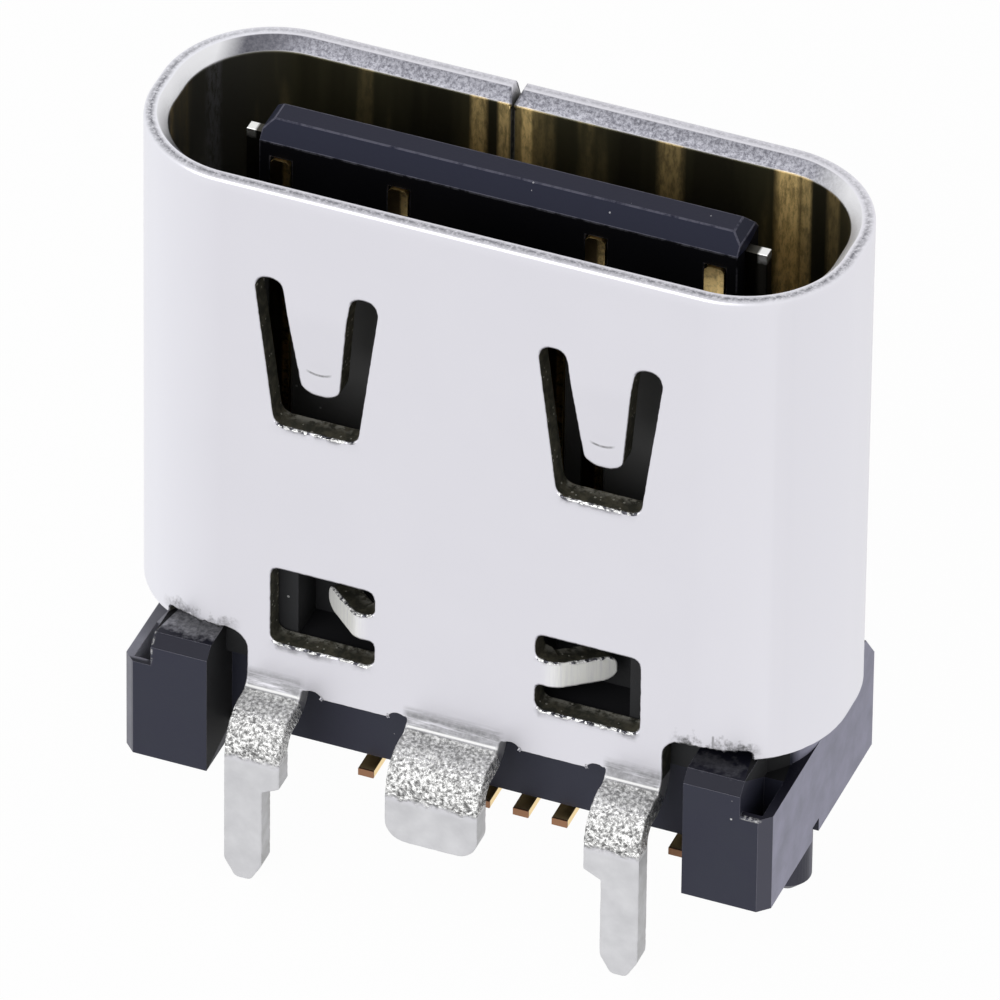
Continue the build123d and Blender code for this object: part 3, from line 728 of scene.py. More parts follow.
def makePlateSteel(settings):
    material, tree = newMaterial("plateSteel")
    vector = inMillimetres(tree)
    place = splitVector(tree, vector)
    grain = placeGroup(tree, grainGroup, {"Vector": vector, "Grain Size": 50.0, "Patch Size": 8.0})
    height = calc(tree, "ADD", place[2], product(tree, grain["Patches"], 0.08))
    flank = remap(tree, height, settings["brightFrom"] + 0.06, settings["brightFrom"])
    inner = remap(tree, calc(tree, "ABSOLUTE", place[0]), plateEnd - 0.10, plateEnd - 0.13)
    colour = mixColour(tree, larger(tree, flank, inner), settings["steel"], settings["steelShade"])
    shader = addNode(tree, "ShaderNodeBsdfPrincipled", {
        "Base Color": colour, "Metallic": 1.0, "Roughness": 0.36,
        "Normal": addBump(tree, grain["Height"], 0.2, 0.000004)})
    addNode(tree, "ShaderNodeOutputMaterial", {"Surface": shader.outputs[0]})
    return material


tinPlating = makePlating(plating)
housingPlastic = makeMoulding("housingPlastic", housingMoulding)
tonguePlastic = makeMoulding("tonguePlastic", tongueMoulding)
shadowedPlastic = makeMoulding("shadowedPlastic", shadowedMoulding)
contactGold = makeContactGold(contactFinish)
plateSteel = makePlateSteel(plateFinish)
print("materials made")


# Outlines

def roundCorners(corners, step):
    # corners are (across, up, radius) in order; gives evenly spaced points along the closed outline
    outline = []
    count = len(corners)
    for i in range(count):
        here = np.array(corners[i][:2], float)
        radius = corners[i][2]
        if radius <= 0:
            outline.append(here)
            continue
        toBefore = np.array(corners[i - 1][:2], float) - here
        toAfter = np.array(corners[(i + 1) % count][:2], float) - here
        toBefore /= np.linalg.norm(toBefore)
        toAfter /= np.linalg.norm(toAfter)
        half = math.acos(np.clip(toBefore @ toAfter, -1, 1)) / 2
        middle = here + (toBefore + toAfter) / np.linalg.norm(toBefore + toAfter) * radius / math.sin(half)
        start = here + toBefore * radius / math.tan(half) - middle
        end = here + toAfter * radius / math.tan(half) - middle
        first = math.atan2(start[1], start[0])
        sweep = (math.atan2(end[1], end[0]) - first + math.pi) % (2 * math.pi) - math.pi
        pieces = max(4, math.ceil(abs(sweep) * radius / step))
        for k in range(pieces + 1):
            angle = first + sweep * k / pieces
            outline.append(middle + radius * np.array((math.cos(angle), math.sin(angle))))
    spaced = []
    for i, here in enumerate(outline):
        after = outline[(i + 1) % len(outline)]
        run = np.linalg.norm(after - here)
        if run < 1e-6:
            continue
        pieces = max(1, math.ceil(run / step))
        spaced += [here + (after - here) * k / pieces for k in range(pieces)]
    return np.array(spaced)


def outwardNormals(outline):
    # the material lies to the left of the outline's direction
    ahead = np.roll(outline, -1, 0) - outline
    ahead /= np.linalg.norm(ahead, axis=1)[:, None]
    right = np.stack((ahead[:, 1], -ahead[:, 0]), 1)
    both = right + np.roll(right, 1, 0)
    return both / np.linalg.norm(both, axis=1)[:, None]


# Shell

lowest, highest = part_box("shell")
shellSize = {                       # millimetres
    "length": (highest.x - lowest.x) / millimetre,
    "rim": highest.z / millimetre,
    "legReach": -lowest.y / millimetre,
    "pinTip": lowest.z / millimetre,
    "width": 3.16,
    "wall": 0.30,
    "endRadius": 1.42,
    "skirt": 1.27,
    "endSkirt": 1.86,
    "notchTop": 2.00,
    "notchEnd": 3.782,              # along the sheet; the notch ends 3.75 from the middle
    "seam": 0.45,
    "seamGap": 0.03,
    "mouthWidth": 0.16,
    "mouthDepth": 0.14,
    "edgeRadius": 0.02,
    "sheetTop": 8.50,               # the rim's own profile starts here
    "step": 0.045,                  # spacing along cut edges
    "grid": 0.14,                   # spacing on the plain walls
}
flatHalf = shellSize["length"] / 2 - shellSize["endRadius"]
frontFace = shellSize["width"] / 2
arcRun = shellSize["endRadius"] * math.pi / 2
sideRun = shellSize["width"] - 2 * shellSize["endRadius"]
rearStart = flatHalf + 2 * arcRun + sideRun
wallTurn = rearStart + flatHalf             # arc length at the middle of the rear wall
halfWay = wallTurn / 2

fingerSize = {
    "middle": fingerPlace["middle"], "slotTop": 7.40, "slotBottom": 5.26, "topHalf": 0.80, "bottomHalf": 0.53,
    "armInner": 0.44, "bend": 7.05, "tip": 5.69, "rootHalf": 0.39, "tipHalf": 0.235,
    "lean": 0.17, "dimple": 6.17, "dimpleRadius": 0.17, "dimpleDepth": 0.010,
}
tabSize = {
    "inner": 1.03, "outer": 2.37, "bottom": 1.97, "top": 3.08, "corner": 0.12,
    "rootTop": 2.75, "rootBottom": 2.34, "tipTop": 2.58, "tipBottom": 2.21,
    "bendStart": 1.135, "bendRadius": 0.33, "bendAngle": math.radians(46), "slope": 0.702,
    "zoneBottom": 2.15, "zoneTop": 2.86, "zoneEnd": 2.2,       # what turns with the tab
}
legSize = {
    "inner": 1.955, "outer": 2.67, "pinInner": 2.18, "shoulder": 0.34, "shoulderDrop": 0.115,
    "taper": 0.25, "tipHalf": 0.10, "tabHalf": 0.597, "tabFoot": 0.03, "tabCorner": 0.28,
    "bendTop": 1.40, "bendRadius": 0.33, "reliefTop": 1.36, "reliefWidth": 0.255,
    "hammerStep": 0.018, "facet": 0.052, "facetHeight": 0.34, "facetDepth": 0.011,
}
legStep = shellSize["legReach"] - frontFace
levelRun = legStep - 2 * legSize["bendRadius"]
bendRun = legSize["bendRadius"] * math.pi / 2
bentRun = 2 * bendRun + levelRun
stepFoot = legSize["bendTop"] - 2 * legSize["bendRadius"]     # height where the leg is upright again


def legFlat(height):
    # where a height of the upright lower leg lies on the flat sheet
    return legSize["bendTop"] - bentRun - (stepFoot - height)


def lowerEdge(hasTab):
    # corners of a wall's lower edge from its middle outward: (across, up, radius)
    leg = legSize
    corners = []
    if hasTab:
        corners += [
            (leg["tabHalf"], legFlat(leg["tabFoot"]), leg["tabCorner"]),
            (leg["tabHalf"], leg["reliefTop"], 0.12),
            (leg["tabHalf"] + leg["reliefWidth"], leg["reliefTop"], 0.12),
            (leg["tabHalf"] + leg["reliefWidth"], shellSize["skirt"], 0.03),
        ]
    pinMiddle = (leg["pinInner"] + leg["outer"]) / 2
    tip = shellSize["pinTip"]
    corners += [
        (leg["inner"] - leg["reliefWidth"], shellSize["skirt"], 0.03),
        (leg["inner"] - leg["reliefWidth"], leg["reliefTop"], 0.12),
        (leg["inner"], leg["reliefTop"], 0.12),
        (leg["inner"], legFlat(leg["shoulder"]), 0.03),
        (leg["pinInner"], legFlat(leg["shoulder"] - leg["shoulderDrop"]), 0.03),
        (leg["pinInner"], legFlat(tip + leg["taper"]), 0.16),
        (pinMiddle - leg["tipHalf"], legFlat(tip), 0.09),
        (pinMiddle + leg["tipHalf"], legFlat(tip), 0.09),
        (leg["outer"], legFlat(tip + leg["taper"]), 0.16),
        (leg["outer"], shellSize["notchTop"], 0.24),
        (shellSize["notchEnd"], shellSize["notchTop"], 0.08),
        (shellSize["notchEnd"], shellSize["endSkirt"], 0.03),
    ]
    return corners


def sheetOutline():
    # the flat sheet from seam to seam, material to the left
    front, rear = lowerEdge(True), lowerEdge(False)
    left = -(wallTurn - shellSize["seam"]) + shellSize["seamGap"] / 2
    right = wallTurn + shellSize["seam"] - shellSize["seamGap"] / 2
    corners = [(left, shellSize["skirt"], 0)]
    corners += [(a - wallTurn, z, r) for a, z, r in rear]
    corners += [(-a, z, r) for a, z, r in reversed(front)]
    corners += front
    corners += [(wallTurn - a, z, r) for a, z, r in reversed(rear)]
    corners += [(right, shellSize["skirt"], 0), (right, shellSize["sheetTop"], 0)]
    corners.append((left, shellSize["sheetTop"], 0))
    return roundCorners(corners, shellSize["step"])


def fingerSlot():
    f = fingerSize
    m = f["middle"]
    corners = [
        (m - f["topHalf"], f["slotTop"], 0.165), (m - f["armInner"], f["slotTop"], 0.165),
        (m - f["rootHalf"], f["bend"], 0.20), (m - f["tipHalf"], f["tip"], 0.21),
        (m + f["tipHalf"], f["tip"], 0.21), (m + f["rootHalf"], f["bend"], 0.20),
        (m + f["armInner"], f["slotTop"], 0.165), (m + f["topHalf"], f["slotTop"], 0.165),
        (m + f["bottomHalf"], f["slotBottom"], 0.15), (m - f["bottomHalf"], f["slotBottom"], 0.15),
    ]
    return roundCorners(corners, shellSize["step"])


def tabWindow():
    t = tabSize
    tip = t["bendStart"] + t["bendRadius"] * t["bendAngle"] + t["slope"]
    corners = [
        (t["inner"], t["top"], t["corner"]), (t["outer"], t["top"], t["corner"]),
        (t["outer"], t["bottom"], t["corner"]), (t["inner"], t["bottom"], t["corner"]),
        (t["inner"], t["rootBottom"], 0.085), (tip, t["tipBottom"], 0.15),
        (tip, t["tipTop"], 0.17), (t["inner"], t["rootTop"], 0.09),
    ]
    return roundCorners(corners, shellSize["step"])


def onEachWall(outline):
    # a hole of the front right quarter, and its copies on the other three; direction stays the same
    across, up = outline[:, 0], outline[:, 1]
    return [
        np.stack((across, up), 1),
        np.stack((-across, up), 1)[::-1],
        np.stack((wallTurn - across, up), 1)[::-1],
        np.stack((across - wallTurn, up), 1),
    ]


def smoothStep(value, low, high):
    share = np.clip((value - low) / (high - low), 0, 1)
    return share * share * (3 - 2 * share)


def nearTab(across, up):
    t = tabSize
    return (across < t["zoneEnd"]) & (up > t["zoneBottom"]) & (up < t["zoneTop"])


def placeOnShell(around, up, depth, zoneAround, zoneUp):
    # wraps flat sheet points to the folded, bent shell. The zone point says which tongue of the
    # sheet a point belongs to, so that a rounded edge bends with the face beside it.
    side = np.where(around < 0, -1.0, 1.0)
    run = np.abs(around)
    rear = run > halfWay
    across = np.where(rear, wallTurn - run, run)
    zoneRun = np.abs(zoneAround)
    zoneAcross = np.where(zoneRun > halfWay, wallTurn - zoneRun, zoneRun)
    outward = -depth
    height = up.copy()

    # spring fingers lean in, and a round dimple is pressed into each
    f = fingerSize
    inFinger = (np.abs(zoneAcross - f["middle"]) < 0.43) & (zoneUp > f["tip"] - 0.01) & (zoneUp < f["bend"])
    down = np.clip(f["bend"] - up, 0, None)
    lean = f["lean"] / (f["bend"] - f["tip"]) * np.where(down < 0.2, down * down / 0.4, down - 0.1)
    outward = np.where(inFinger, outward - lean, outward)
    fromDimple = np.hypot(zoneAcross - f["middle"], zoneUp - f["dimple"]) / f["dimpleRadius"]
    steep = smoothStep((f["dimple"] - zoneUp) / f["dimpleRadius"], -1.0, 0.5)
    outward -= np.where(inFinger & (fromDimple < 1), f["dimpleDepth"] * steep * (1 - fromDimple ** 2), 0)

    # locking tabs turn inward about an upright line
    t = tabSize
    onTab = (zoneAcross > t["bendStart"]) & nearTab(zoneAcross, zoneUp)
    turn = np.clip((across - t["bendStart"]) / t["bendRadius"], 0, t["bendAngle"])
    straight = np.clip(across - t["bendStart"] - t["bendRadius"] * t["bendAngle"], 0, None)
    inner = t["bendRadius"] - depth
    tabAcross = t["bendStart"] + inner * np.sin(turn) + straight * np.cos(turn)
    tabOut = -t["bendRadius"] + inner * np.cos(turn) - straight * np.sin(turn)
    across = np.where(onTab, tabAcross, across)
    outward = np.where(onTab, tabOut, outward)

    # legs and the middle tab step outward
    leg = legSize
    onLeg = (zoneUp < leg["bendTop"]) & (zoneAcross > leg["inner"]) & (zoneAcross < leg["outer"])
    onLeg |= (zoneUp < leg["bendTop"]) & (zoneRun < leg["tabHalf"])
    gone = np.clip(leg["bendTop"] - up, 0, None)
    radius = leg["bendRadius"]
    first = np.clip(gone / radius, 0, math.pi / 2)
    level = np.clip(gone - bendRun, 0, levelRun)
    second = np.clip((gone - bendRun - levelRun) / radius, 0, math.pi / 2)
    upright = np.clip(gone - bentRun, 0, None)
    slant = first - second
    fromMiddle = shellSize["wall"] / 2 - depth
    legOut = -shellSize["wall"] / 2 + radius * (1 - np.cos(first)) + level + radius * np.sin(second)
    legHeight = leg["bendTop"] - radius * np.sin(first) - radius * (1 - np.cos(second)) - upright
    outward = np.where(onLeg, legOut + fromMiddle * np.cos(slant), outward)
    height = np.where(onLeg, legHeight + fromMiddle * np.sin(slant), height)

    # back to the oval
    run = np.where(rear, wallTurn - across, across)
    radius = shellSize["endRadius"]
    angle = np.clip((run - flatHalf) / radius, 0, math.pi / 2)
    angle += np.clip((run - flatHalf - arcRun - sideRun) / radius, 0, math.pi / 2)
    onSide = np.clip(run - flatHalf - arcRun, 0, sideRun)
    normalX, normalY = np.sin(angle), -np.cos(angle)
    x = np.minimum(run, flatHalf) + radius * normalX - np.clip(run - rearStart, 0, None)
    y = -(frontFace - radius) + onSide + radius * normalY
    x = side * (x + normalX * outward)
    y = y + normalY * outward

    # the seam opens to a small V at the rim
    mouth = np.clip((height - shellSize["rim"] + shellSize["mouthDepth"]) / shellSize["mouthDepth"], 0, 1)
    mouth *= (shellSize["mouthWidth"] - shellSize["seamGap"]) / 2
    near = np.clip(1 - np.abs(x + shellSize["seam"]) / 0.25, 0, 1) * (y > 0)
    x = x + side * mouth * near
    return np.stack((x, y, height), 1)


# Rows across an edge: how far the material's edge is drawn back, and the depth in the sheet
edge = shellSize["edgeRadius"]
wall = shellSize["wall"]
cutRows = [
    (edge + 0.012, 0), (edge, 0), (edge * 0.5, edge * 0.134), (edge * 0.134, edge * 0.5), (0, edge),
    (0, edge + 0.012), (0, wall / 2), (0, wall - edge - 0.012), (0, wall - edge),
    (edge * 0.134, wall - edge * 0.5), (edge * 0.5, wall - edge * 0.134), (edge, wall), (edge + 0.012, wall),
]
# Rows over the rim: height and depth, from outside, over the top and down the coined lead-in
rimRows = [
    (8.50, 0), (8.655, 0), (8.68, 0.0054), (8.6946, 0.02), (8.70, 0.04), (8.70, 0.09), (8.70, 0.13),
    (8.699, 0.152), (8.692, 0.164), (8.55, 0.284), (8.535, 0.296), (8.52, 0.30), (8.50, 0.30),
]
# How far each row of a crumbled lower lip stands out of the sheet
lipFold = (0.026, 0.026, 0.024, 0.018, 0.010, 0.004, 0, 0, 0, 0, 0, 0)
lastRow = len(cutRows) - 1


def gridPoints(low, high, step):
    rows = int((high[1] - low[1]) / (step * 0.866)) + 1
    columns = int((high[0] - low[0]) / step) + 1
    across = np.arange(columns) * step + low[0]
    points = []
    for row in range(rows):
        shift = step / 2 * (row % 2)
        points.append(np.stack((across + shift, np.full(columns, low[1] + row * step * 0.866)), 1))
    return np.concatenate(points)


def fineZones():
    # (low corner, high corner, spacing) on the flat sheet, where the surface bends or is textured
    leg, f, t = legSize, fingerSize, tabSize
    top = leg["bendTop"] - 0.16
    foot = leg["bendTop"] - bentRun - 0.10
    quarter = [
        ((leg["inner"], foot), (leg["outer"], top), leg["hammerStep"]),
        ((leg["inner"], top), (leg["outer"], leg["bendTop"] + 0.04), 0.05),
        ((leg["inner"], legFlat(shellSize["pinTip"])), (leg["outer"], foot), 0.07),
        ((f["middle"] - 0.22, f["dimple"] - 0.22), (f["middle"] + 0.22, f["dimple"] + 0.22), 0.03),
        ((f["middle"] - 0.40, f["tip"]), (f["middle"] + 0.40, f["bend"] + 0.1), 0.07),
        ((t["bendStart"] - 0.08, t["rootBottom"] - 0.05), (t["outer"], t["rootTop"] + 0.05), 0.035),
    ]
    zones = []
    for low, high, step in quarter:
        zones += [
            (low, high, step),
            ((-high[0], low[1]), (-low[0], high[1]), step),
            ((wallTurn - high[0], low[1]), (wallTurn - low[0], high[1]), step),
            ((low[0] - wallTurn, low[1]), (high[0] - wallTurn, high[1]), step),
        ]
    zones += [
        ((-leg["tabHalf"], foot), (leg["tabHalf"], top), leg["hammerStep"]),
        ((-leg["tabHalf"], top), (leg["tabHalf"], leg["bendTop"] + 0.04), 0.05),
        ((-leg["tabHalf"], legFlat(leg["tabFoot"])), (leg["tabHalf"], foot), 0.07),
    ]
    return zones


def sheetGrid(edgePoints):
    near = kdtree.KDTree(len(edgePoints))
    for i, p in enumerate(edgePoints):
        near.insert((p[0], p[1], 0), i)
    near.balance()
    zones = fineZones()
    low, high = edgePoints.min(0), edgePoints.max(0)
    plain = gridPoints(low, high, shellSize["grid"])
    kept = []
    used = np.zeros(len(plain), bool)
    done = []
    for zoneLow, zoneHigh, step in zones:
        inZone = np.all((plain > np.array(zoneLow) - step) & (plain < np.array(zoneHigh) + step), 1)
        used |= inZone
        fine = gridPoints(zoneLow, zoneHigh, step)
        for otherLow, otherHigh, otherStep in done:
            gap = (step + otherStep) / 3
            inOther = np.all((fine > np.array(otherLow) - gap) & (fine < np.array(otherHigh) + gap), 1)
            fine = fine[~inOther]
        done.append((zoneLow, zoneHigh, step))
        kept.append((fine, step))
    kept.append((plain[~used], shellSize["grid"]))
    points = []
    for group, step in kept:
        clear = min(step, 0.07) * 0.55
        for p in group:
            if near.find((p[0], p[1], 0))[2] > clear:
                points.append(p)
    return np.array(points)


def scatterSeeds(points, spacing, chance):
    # jittered seeds over the flat sheet, one facet each
    low, high = points.min(0), points.max(0)
    seeds = gridPoints(low - spacing, high + spacing, spacing)
    seeds += np.array([[chance.uniform(-0.42, 0.42) * spacing for _ in range(2)] for _ in seeds])
    tree = kdtree.KDTree(len(seeds))
    for i, s in enumerate(seeds):
        tree.insert((s[0], s[1], 0), i)
    tree.balance()
    slopes = np.array([(chance.uniform(-1, 1), chance.uniform(-1, 1)) for _ in seeds])
    return seeds, tree, slopes


def facetsAt(points, seeds, tree, slopes):
    found = np.array([tree.find((p[0], p[1], 0))[1] for p in points])
    return np.sum(slopes[found] * (points - seeds[found]), 1)


def rollover(way, inHole):
    # how far the rounding of an opening's upper edge is widened
    return 1.3 * float(np.clip((-way[1] - 0.35) / 0.5, 0, 1)) if inHole else 0.0


def makeShell():
    outer = sheetOutline()
    holes = onEachWall(fingerSlot()) + onEachWall(tabWindow())
    top = shellSize["sheetTop"]

    # edge stations: place on the true cut line, way out of the material, and kind of profile
    loops = []
    for number, outline in enumerate([outer] + holes):
        ways = outwardNormals(outline)
        loops.append([
            (point, way, number == 0 and abs(point[1] - top) < 1e-6) for point, way in zip(outline, ways)])

    # the sheet's top corners turn from the cut seam to the rim, so they count twice
    ring = loops[0]
    spread = []
    for i, (point, way, onTop) in enumerate(ring):
        before, after = ring[i - 1], ring[(i + 1) % len(ring)]
        if onTop and not before[2]:
            spread += [(point, np.array((1.0, 0.0)), False), (point, np.array((0.0, 1.0)), True)]
        elif onTop and not after[2]:
            spread += [(point, np.array((0.0, 1.0)), True), (point, np.array((-1.0, 0.0)), False)]
        elif onTop:
            spread.append((point, np.array((0.0, 1.0)), True))
        else:
            spread.append((point, way, False))
    loops[0] = spread

    # the triangulated sheet ends where the rounded edge starts; openings are rolled over at the top
    flatPoints, loopIndices = [], []
    for stations in loops:
        indices = []
        for k, (point, way, onTop) in enumerate(stations):
            widened = 1 + rollover(way, stations is not loops[0])
            drawn = point if onTop else point - way * cutRows[0][0] * widened
            if onTop or abs(point[1] - top) < 1e-6:
                drawn = np.array((point[0], top))
            if flatPoints and k and np.linalg.norm(flatPoints[-1] - drawn) < 1e-9:
                indices.append(len(flatPoints) - 1)
                continue
            flatPoints.append(drawn)
            indices.append(len(flatPoints) - 1)
        loopIndices.append(indices)
    edgeCount = len(flatPoints)
    grid = sheetGrid(np.array(flatPoints))
    allPoints = [Vector(p) for p in flatPoints] + [Vector(p) for p in grid]
    faceLoops = [list(dict.fromkeys(indices)) for indices in loopIndices]
    faceLoops = faceLoops[:1] + [indices[::-1] for indices in faceLoops[1:]]
    flat, _, triangles, sources, _, origins = geometry.delaunay_2d_cdt(
        allPoints, [], faceLoops, 1, 1e-7, True)
    newIndex = {}
    for number, olds in enumerate(sources):
        for old in olds:
            newIndex[old] = number
    triangles = [t for t, o in zip(triangles, origins) if 0 in o and len(o) == 1]
    flat = np.array([(v.x, v.y) for v in flat])
    print("  sheet triangulated:", len(flat), "points,", len(triangles), "triangles")

    # flat coordinates, depth and zone of every vertex: outer skin, inner skin, then edge rows
    count = len(flat)
    chance = random.Random(7)
    around, up, zone = [flat[:, 0], flat[:, 0]], [flat[:, 1], flat[:, 1]], [flat, flat]
    depth = [np.zeros(count), np.full(count, wall)]
    edgeMasks = ("cutFace", "leadIn", "rimLine", "lipBurr", "innerLip", "rollover", "pinSide", "frayedEdge")
    masks = {name: [np.zeros(count), np.zeros(count)] for name in edgeMasks}
    masks["innerFace"] = [np.zeros(count), np.ones(count)]
    total = 2 * count
    faces = [tuple(t) for t in triangles] + [tuple(count + i for i in reversed(t)) for t in triangles]
    for stations, indices in zip(loops, loopIndices):
        number = len(stations)
        inHole = indices is not loopIndices[0]
        rows = [np.array([newIndex[i] for i in indices])]
        cutLine = np.array([p for p, _, _ in stations])
        downward = np.array([-way[1] for _, way, _ in stations])
        run = np.abs(cutLine[:, 0])
        across = np.where(run > halfWay, wallTurn - run, run)

        def wobble(scale, seed):
            return np.array([noise.noise(Vector((p[0] * scale, p[1] * scale, seed))) for p in cutLine])

        ragged = -np.abs(0.007 * wobble(9, 3.0) + 0.004 * wobble(27, 9.0))
        inNotch = (not inHole) & (downward > 0.8) & (cutLine[:, 1] > 1.9) & (across > legSize["outer"])
        frayed = inNotch * smoothStep(across, 2.75, 2.95) * (1 - smoothStep(across, 3.55, 3.70))
        ragged += frayed * (0.040 * wobble(13, 1.0) + 0.045 * wobble(38, 4.0))
        onPin = (not inHole) & (cutLine[:, 1] < 1.34)
        lip = inHole * np.clip((-downward - 0.75) / 0.2, 0, 1) * np.clip(0.55 + 1.1 * wobble(11, 5.0), 0, 1.2)
        widened = np.array([1 + rollover(way, inHole) for _, way, _ in stations])
        for row in range(1, lastRow):
            place, level = [], []
            for k, (point, way, onTop) in enumerate(stations):
                if onTop:
                    place.append((point[0], rimRows[row][0]))
                    level.append(rimRows[row][1])
                    continue
                back, deep = cutRows[row]
                if row < 6:
                    back, deep = back * widened[k], deep * widened[k]
                moved = point - way * (back - ragged[k])
                place.append((moved[0], moved[1]))
                level.append(deep - lip[k] * lipFold[row])
            place = np.array(place)
            onRim = np.array([onTop for _, _, onTop in stations])
            around.append(place[:, 0])
            up.append(place[:, 1])
            depth.append(np.array(level))
            zone.append(flat[rows[0]])
            cut = (~onRim) * (4 <= row <= 9)
            masks["cutFace"].append(cut * (~onPin) * 1.0)
            masks["pinSide"].append(cut * onPin * 1.0)
            masks["leadIn"].append(onRim * (1.0 if row in (8, 9) else 0.0))
            masks["rimLine"].append(onRim * {3: 0.15, 4: 0.50, 5: 1.0, 6: 0.25}.get(row, 0.0))
            masks["lipBurr"].append((lip > 0.10) * (~onRim) * (1.0 if row <= 4 else 0.0))
            masks["innerLip"].append((lip > 0.0) * (~onRim) * (1.0 if row in (7, 8, 9) else 0.0) * 0.8)
            masks["rollover"].append(np.clip(widened - 1, 0, 1) * (1.0 if 2 <= row <= 5 else 0.0))
            masks["frayedEdge"].append(frayed * (1.0 if row <= 8 else 0.0))
            masks["innerFace"].append(np.full(number, 1.0 if row >= 10 else 0.0))
            rows.append(total + np.arange(number))
            total += number
        rows.append(rows[0] + count)
        for row in range(lastRow):
            for k in range(number):
                after = (k + 1) % number
                quad = (rows[row][k], rows[row + 1][k], rows[row + 1][after], rows[row][after])
                quad = tuple(dict.fromkeys(int(i) for i in quad))
                if len(quad) > 2:
                    faces.append(quad)
    around, up, depth = np.concatenate(around), np.concatenate(up), np.concatenate(depth)
    zone = np.concatenate(zone)
    masks = {name: np.concatenate(values) for name, values in masks.items()}

    # hammered bends
    leg = legSize
    run = np.abs(zone[:, 0])
    across = np.where(run > halfWay, wallTurn - run, run)
    onLeg = ((across > leg["inner"]) & (across < leg["outer"])) | (run < leg["tabHalf"])
    gone = leg["bendTop"] - zone[:, 1]
    outerSkin = depth < 0.06
    sway = np.array([noise.noise(Vector((a * 9, b * 9, 6.0))) for a, b in zip(around, up)]) * 0.05
    bend = smoothStep(gone, 0.31, 0.35) * (1 - smoothStep(gone + sway, 1.12, 1.19)) * onLeg
    hammered = bend * (depth < 0.29)
    relief = bend * outerSkin
    flatPlace = np.stack((around, up), 1)
    seeds = scatterSeeds(np.array(flatPoints), leg["facet"], chance)
    height = np.zeros(len(around))
    textured = (relief > 0) | (masks["lipBurr"] > 0)
    height[textured] = facetsAt(flatPlace[textured], *seeds)
    dents = np.clip(leg["facetDepth"] - leg["facetHeight"] * height, 0, None)     # inward only
    depth = depth + relief * dents - masks["lipBurr"] * 0.30 * height
    masks["hammered"] = hammered
    # painted shade on the facets, deeper towards the foot of the bend
    masks["facetLowerShade"] = smoothStep(gone, 0.65, 1.05)
    # a painted highlight line just above the facets
    justAbove = smoothStep(gone, 0.24, 0.26) * (1 - smoothStep(gone, 0.29, 0.32))
    masks["brightLine"] = justAbove * onLeg * outerSkin

    # painted highlight over the bend of each locking tab
    tabHighlight = smoothStep(across, 1.08, 1.40) * outerSkin
    masks["tabHighlightMask"] = nearTab(across, zone[:, 1]) * tabHighlight

    places = placeOnShell(around, up, depth, zone[:, 0], zone[:, 1])
    mesh = bpy.data.meshes.new("shellSheet")
    mesh.from_pydata((places * millimetre).tolist(), [], faces)
    mesh.validate()
    for name, values in masks.items():
        layer = mesh.attributes.new(name, "FLOAT", "POINT")
        layer.data.foreach_set("value", values.astype(np.float32))
    work = bmesh.new()
    work.from_mesh(mesh)
    bmesh.ops.delete(work, geom=[v for v in work.verts if not v.link_faces], context="VERTS")
    bmesh.ops.recalc_face_normals(work, faces=work.faces)
    for face in work.faces:
        face.smooth = True
    work.to_mesh(mesh)
    work.free()
    piece = bpy.data.objects.new("shellSheet", mesh)
    bpy.context.scene.collection.objects.link(piece)
    mesh.materials.append(tinPlating)
    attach(piece, "root")
    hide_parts("shell")
    print("shell made:", len(mesh.vertices), "vertices")


makeShell()


# Moulded pieces: copies of the CAD solids with softened edges

def softened(node, name, radius):
    # a clean copy of a node's mesh in millimetres, with flat faces joined and its edges rounded
    work = bmesh.new()
    work.from_mesh(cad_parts[node].data)
    bmesh.ops.scale(work, vec=(1 / millimetre,) * 3, verts=work.verts)
    bmesh.ops.remove_doubles(work, verts=work.verts, dist=1e-4)
    bmesh.ops.dissolve_limit(work, angle_limit=math.radians(1.5), verts=work.verts, edges=work.edges)
    layer = work.faces.layers.float.new("edgeFace")
    for face in work.faces:
        face.smooth = False
    sharp = [e for e in work.edges if len(e.link_faces) == 2 and e.calc_face_angle() > math.radians(35)]
    made = bmesh.ops.bevel(work, geom=sharp, offset=radius, segments=3, profile=0.5,
                           affect="EDGES", clamp_overlap=True, loop_slide=True)
    for face in made["faces"]:
        face[layer] = 1.0
        face.smooth = True
    bmesh.ops.triangulate(work, faces=[f for f in work.faces if len(f.verts) > 4])
    bmesh.ops.scale(work, vec=(millimetre,) * 3, verts=work.verts)
    mesh = bpy.data.meshes.new(name)
    work.to_mesh(mesh)
    work.free()
    piece = bpy.data.objects.new(name, mesh)
    bpy.context.scene.collection.objects.link(piece)
    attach(piece, "root")
    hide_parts(node)
    return piece


def inShadow(node, middle, normal):
    # walls that only face the dark inside of the shell or the gap beside a leg, in millimetres
    x, y, z = middle
    if node == "tongue":
        return abs(normal.y) > 0.9 or z < 7.6
    if node == "base_housing":
        insideShell = abs(x) < 3.98 and abs(y) < 1.31 and z > 1.3
        besideLeg = 2.6 < abs(x) < 3.2 and abs(normal.x) > 0.6 and z > 0.35
        return insideShell or besideLeg
    return True


mouldedPieces = {
    "base_housing": ("baseMoulding", 0.022, housingPlastic),
    "tongue": ("tongueMoulding", 0.016, tonguePlastic),
    "front_wafer": ("frontWaferMoulding", 0.012, tonguePlastic),
    "rear_wafer": ("rearWaferMoulding", 0.012, tonguePlastic),
}
for node, (name, radius, plastic) in mouldedPieces.items():
    piece = softened(node, name, radius)
    piece.data.materials.append(plastic)
    piece.data.materials.append(shadowedPlastic)
    for face in piece.data.polygons:
        face.material_index = int(inShadow(node, face.center / millimetre, face.normal))
print("moulded pieces made")


# Metal pieces that keep their CAD mesh

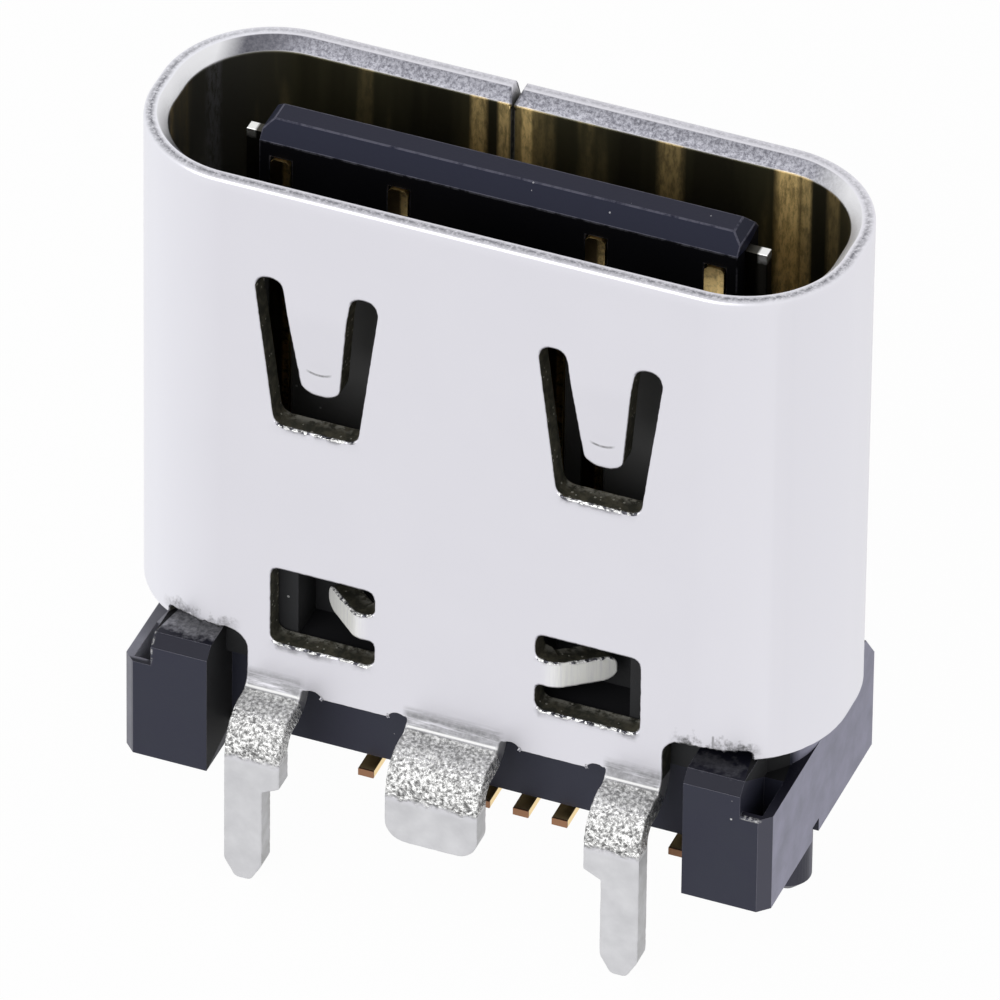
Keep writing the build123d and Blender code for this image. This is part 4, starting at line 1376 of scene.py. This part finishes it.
def trimEdges(piece, radius):
    weld = piece.modifiers.new("joinVertices", "WELD")
    weld.merge_threshold = 0.0000005
    bevel = piece.modifiers.new("softEdges", "BEVEL")
    bevel.width = radius * millimetre
    bevel.segments = 3
    bevel.limit_method = "ANGLE"
    bevel.angle_limit = math.radians(35)


for node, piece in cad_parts.items():
    if "contact" in node:
        piece.data.materials.clear()
        piece.data.materials.append(contactGold)
        trimEdges(piece, 0.034)
    if node == "mid_plate":
        piece.data.materials.clear()
        piece.data.materials.append(plateSteel)
        trimEdges(piece, 0.012)
print("contacts and plate dressed")


# Floor, lamps and world

studio = {
    "floorSize": 0.6,
    "floorWhite": (0.93, 0.93, 0.93, 1),
    "floorGlow": 0.975,                    # share of plain white that the camera sees
    "worldLight": 0.45,
    "keyPower": 0.145,
    "keySize": 0.14,
    "keyPlace": (-0.050, -0.150, 0.065),
}


def seenDirectly(tree):
    # 1 for rays from the camera, and for reflections and clear materials
    rays = addNode(tree, "ShaderNodeLightPath").outputs
    throughOrOff = larger(tree, rays["Is Glossy Ray"], rays["Is Transmission Ray"])
    return larger(tree, rays["Is Camera Ray"], throughOrOff)


def makeFloor(settings):
    mesh = bpy.data.meshes.new("floor")
    half = settings["floorSize"] / 2
    height = cadBox[0].z - 0.00001
    corners = [(x * half, y * half, height) for x, y in ((-1, -1), (1, -1), (1, 1), (-1, 1))]
    mesh.from_pydata(corners, [], [(0, 1, 2, 3)])
    floor = bpy.data.objects.new("floor", mesh)
    bpy.context.scene.collection.objects.link(floor)
    material, tree = newMaterial("paleFloor")
    seen = seenDirectly(tree)
    plain = addNode(tree, "ShaderNodeBsdfDiffuse", {"Color": settings["floorWhite"]})
    bright = addNode(tree, "ShaderNodeEmission", {"Color": (1, 1, 1, 1), "Strength": 1.0})
    share = product(tree, seen, settings["floorGlow"])
    mixed = addNode(tree, "ShaderNodeMixShader", {0: share, 1: plain.outputs[0], 2: bright.outputs[0]})
    addNode(tree, "ShaderNodeOutputMaterial", {"Surface": mixed.outputs[0]})
    mesh.materials.append(material)


def makeLights(settings):
    world = bpy.data.worlds.new("studio")
    bpy.context.scene.world = world
    world.use_nodes = True
    tree = world.node_tree
    tree.nodes.clear()
    strength = mixValue(tree, seenDirectly(tree), settings["worldLight"], 1.0)
    back = addNode(tree, "ShaderNodeBackground", {"Color": (1, 1, 1, 1), "Strength": strength})
    addNode(tree, "ShaderNodeOutputWorld", {"Surface": back.outputs[0]})
    data = bpy.data.lights.new("keyLamp", "AREA")
    data.energy = settings["keyPower"]
    data.size = settings["keySize"]
    lamp = bpy.data.objects.new("keyLamp", data)
    lamp.location = settings["keyPlace"]
    lamp.rotation_mode = "QUATERNION"
    lamp.rotation_quaternion = Vector(settings["keyPlace"]).to_track_quat("Z", "Y")
    bpy.context.scene.collection.objects.link(lamp)


makeFloor(studio)
makeLights(studio)
bpy.context.scene.view_settings.view_transform = "Standard"
print("studio made")
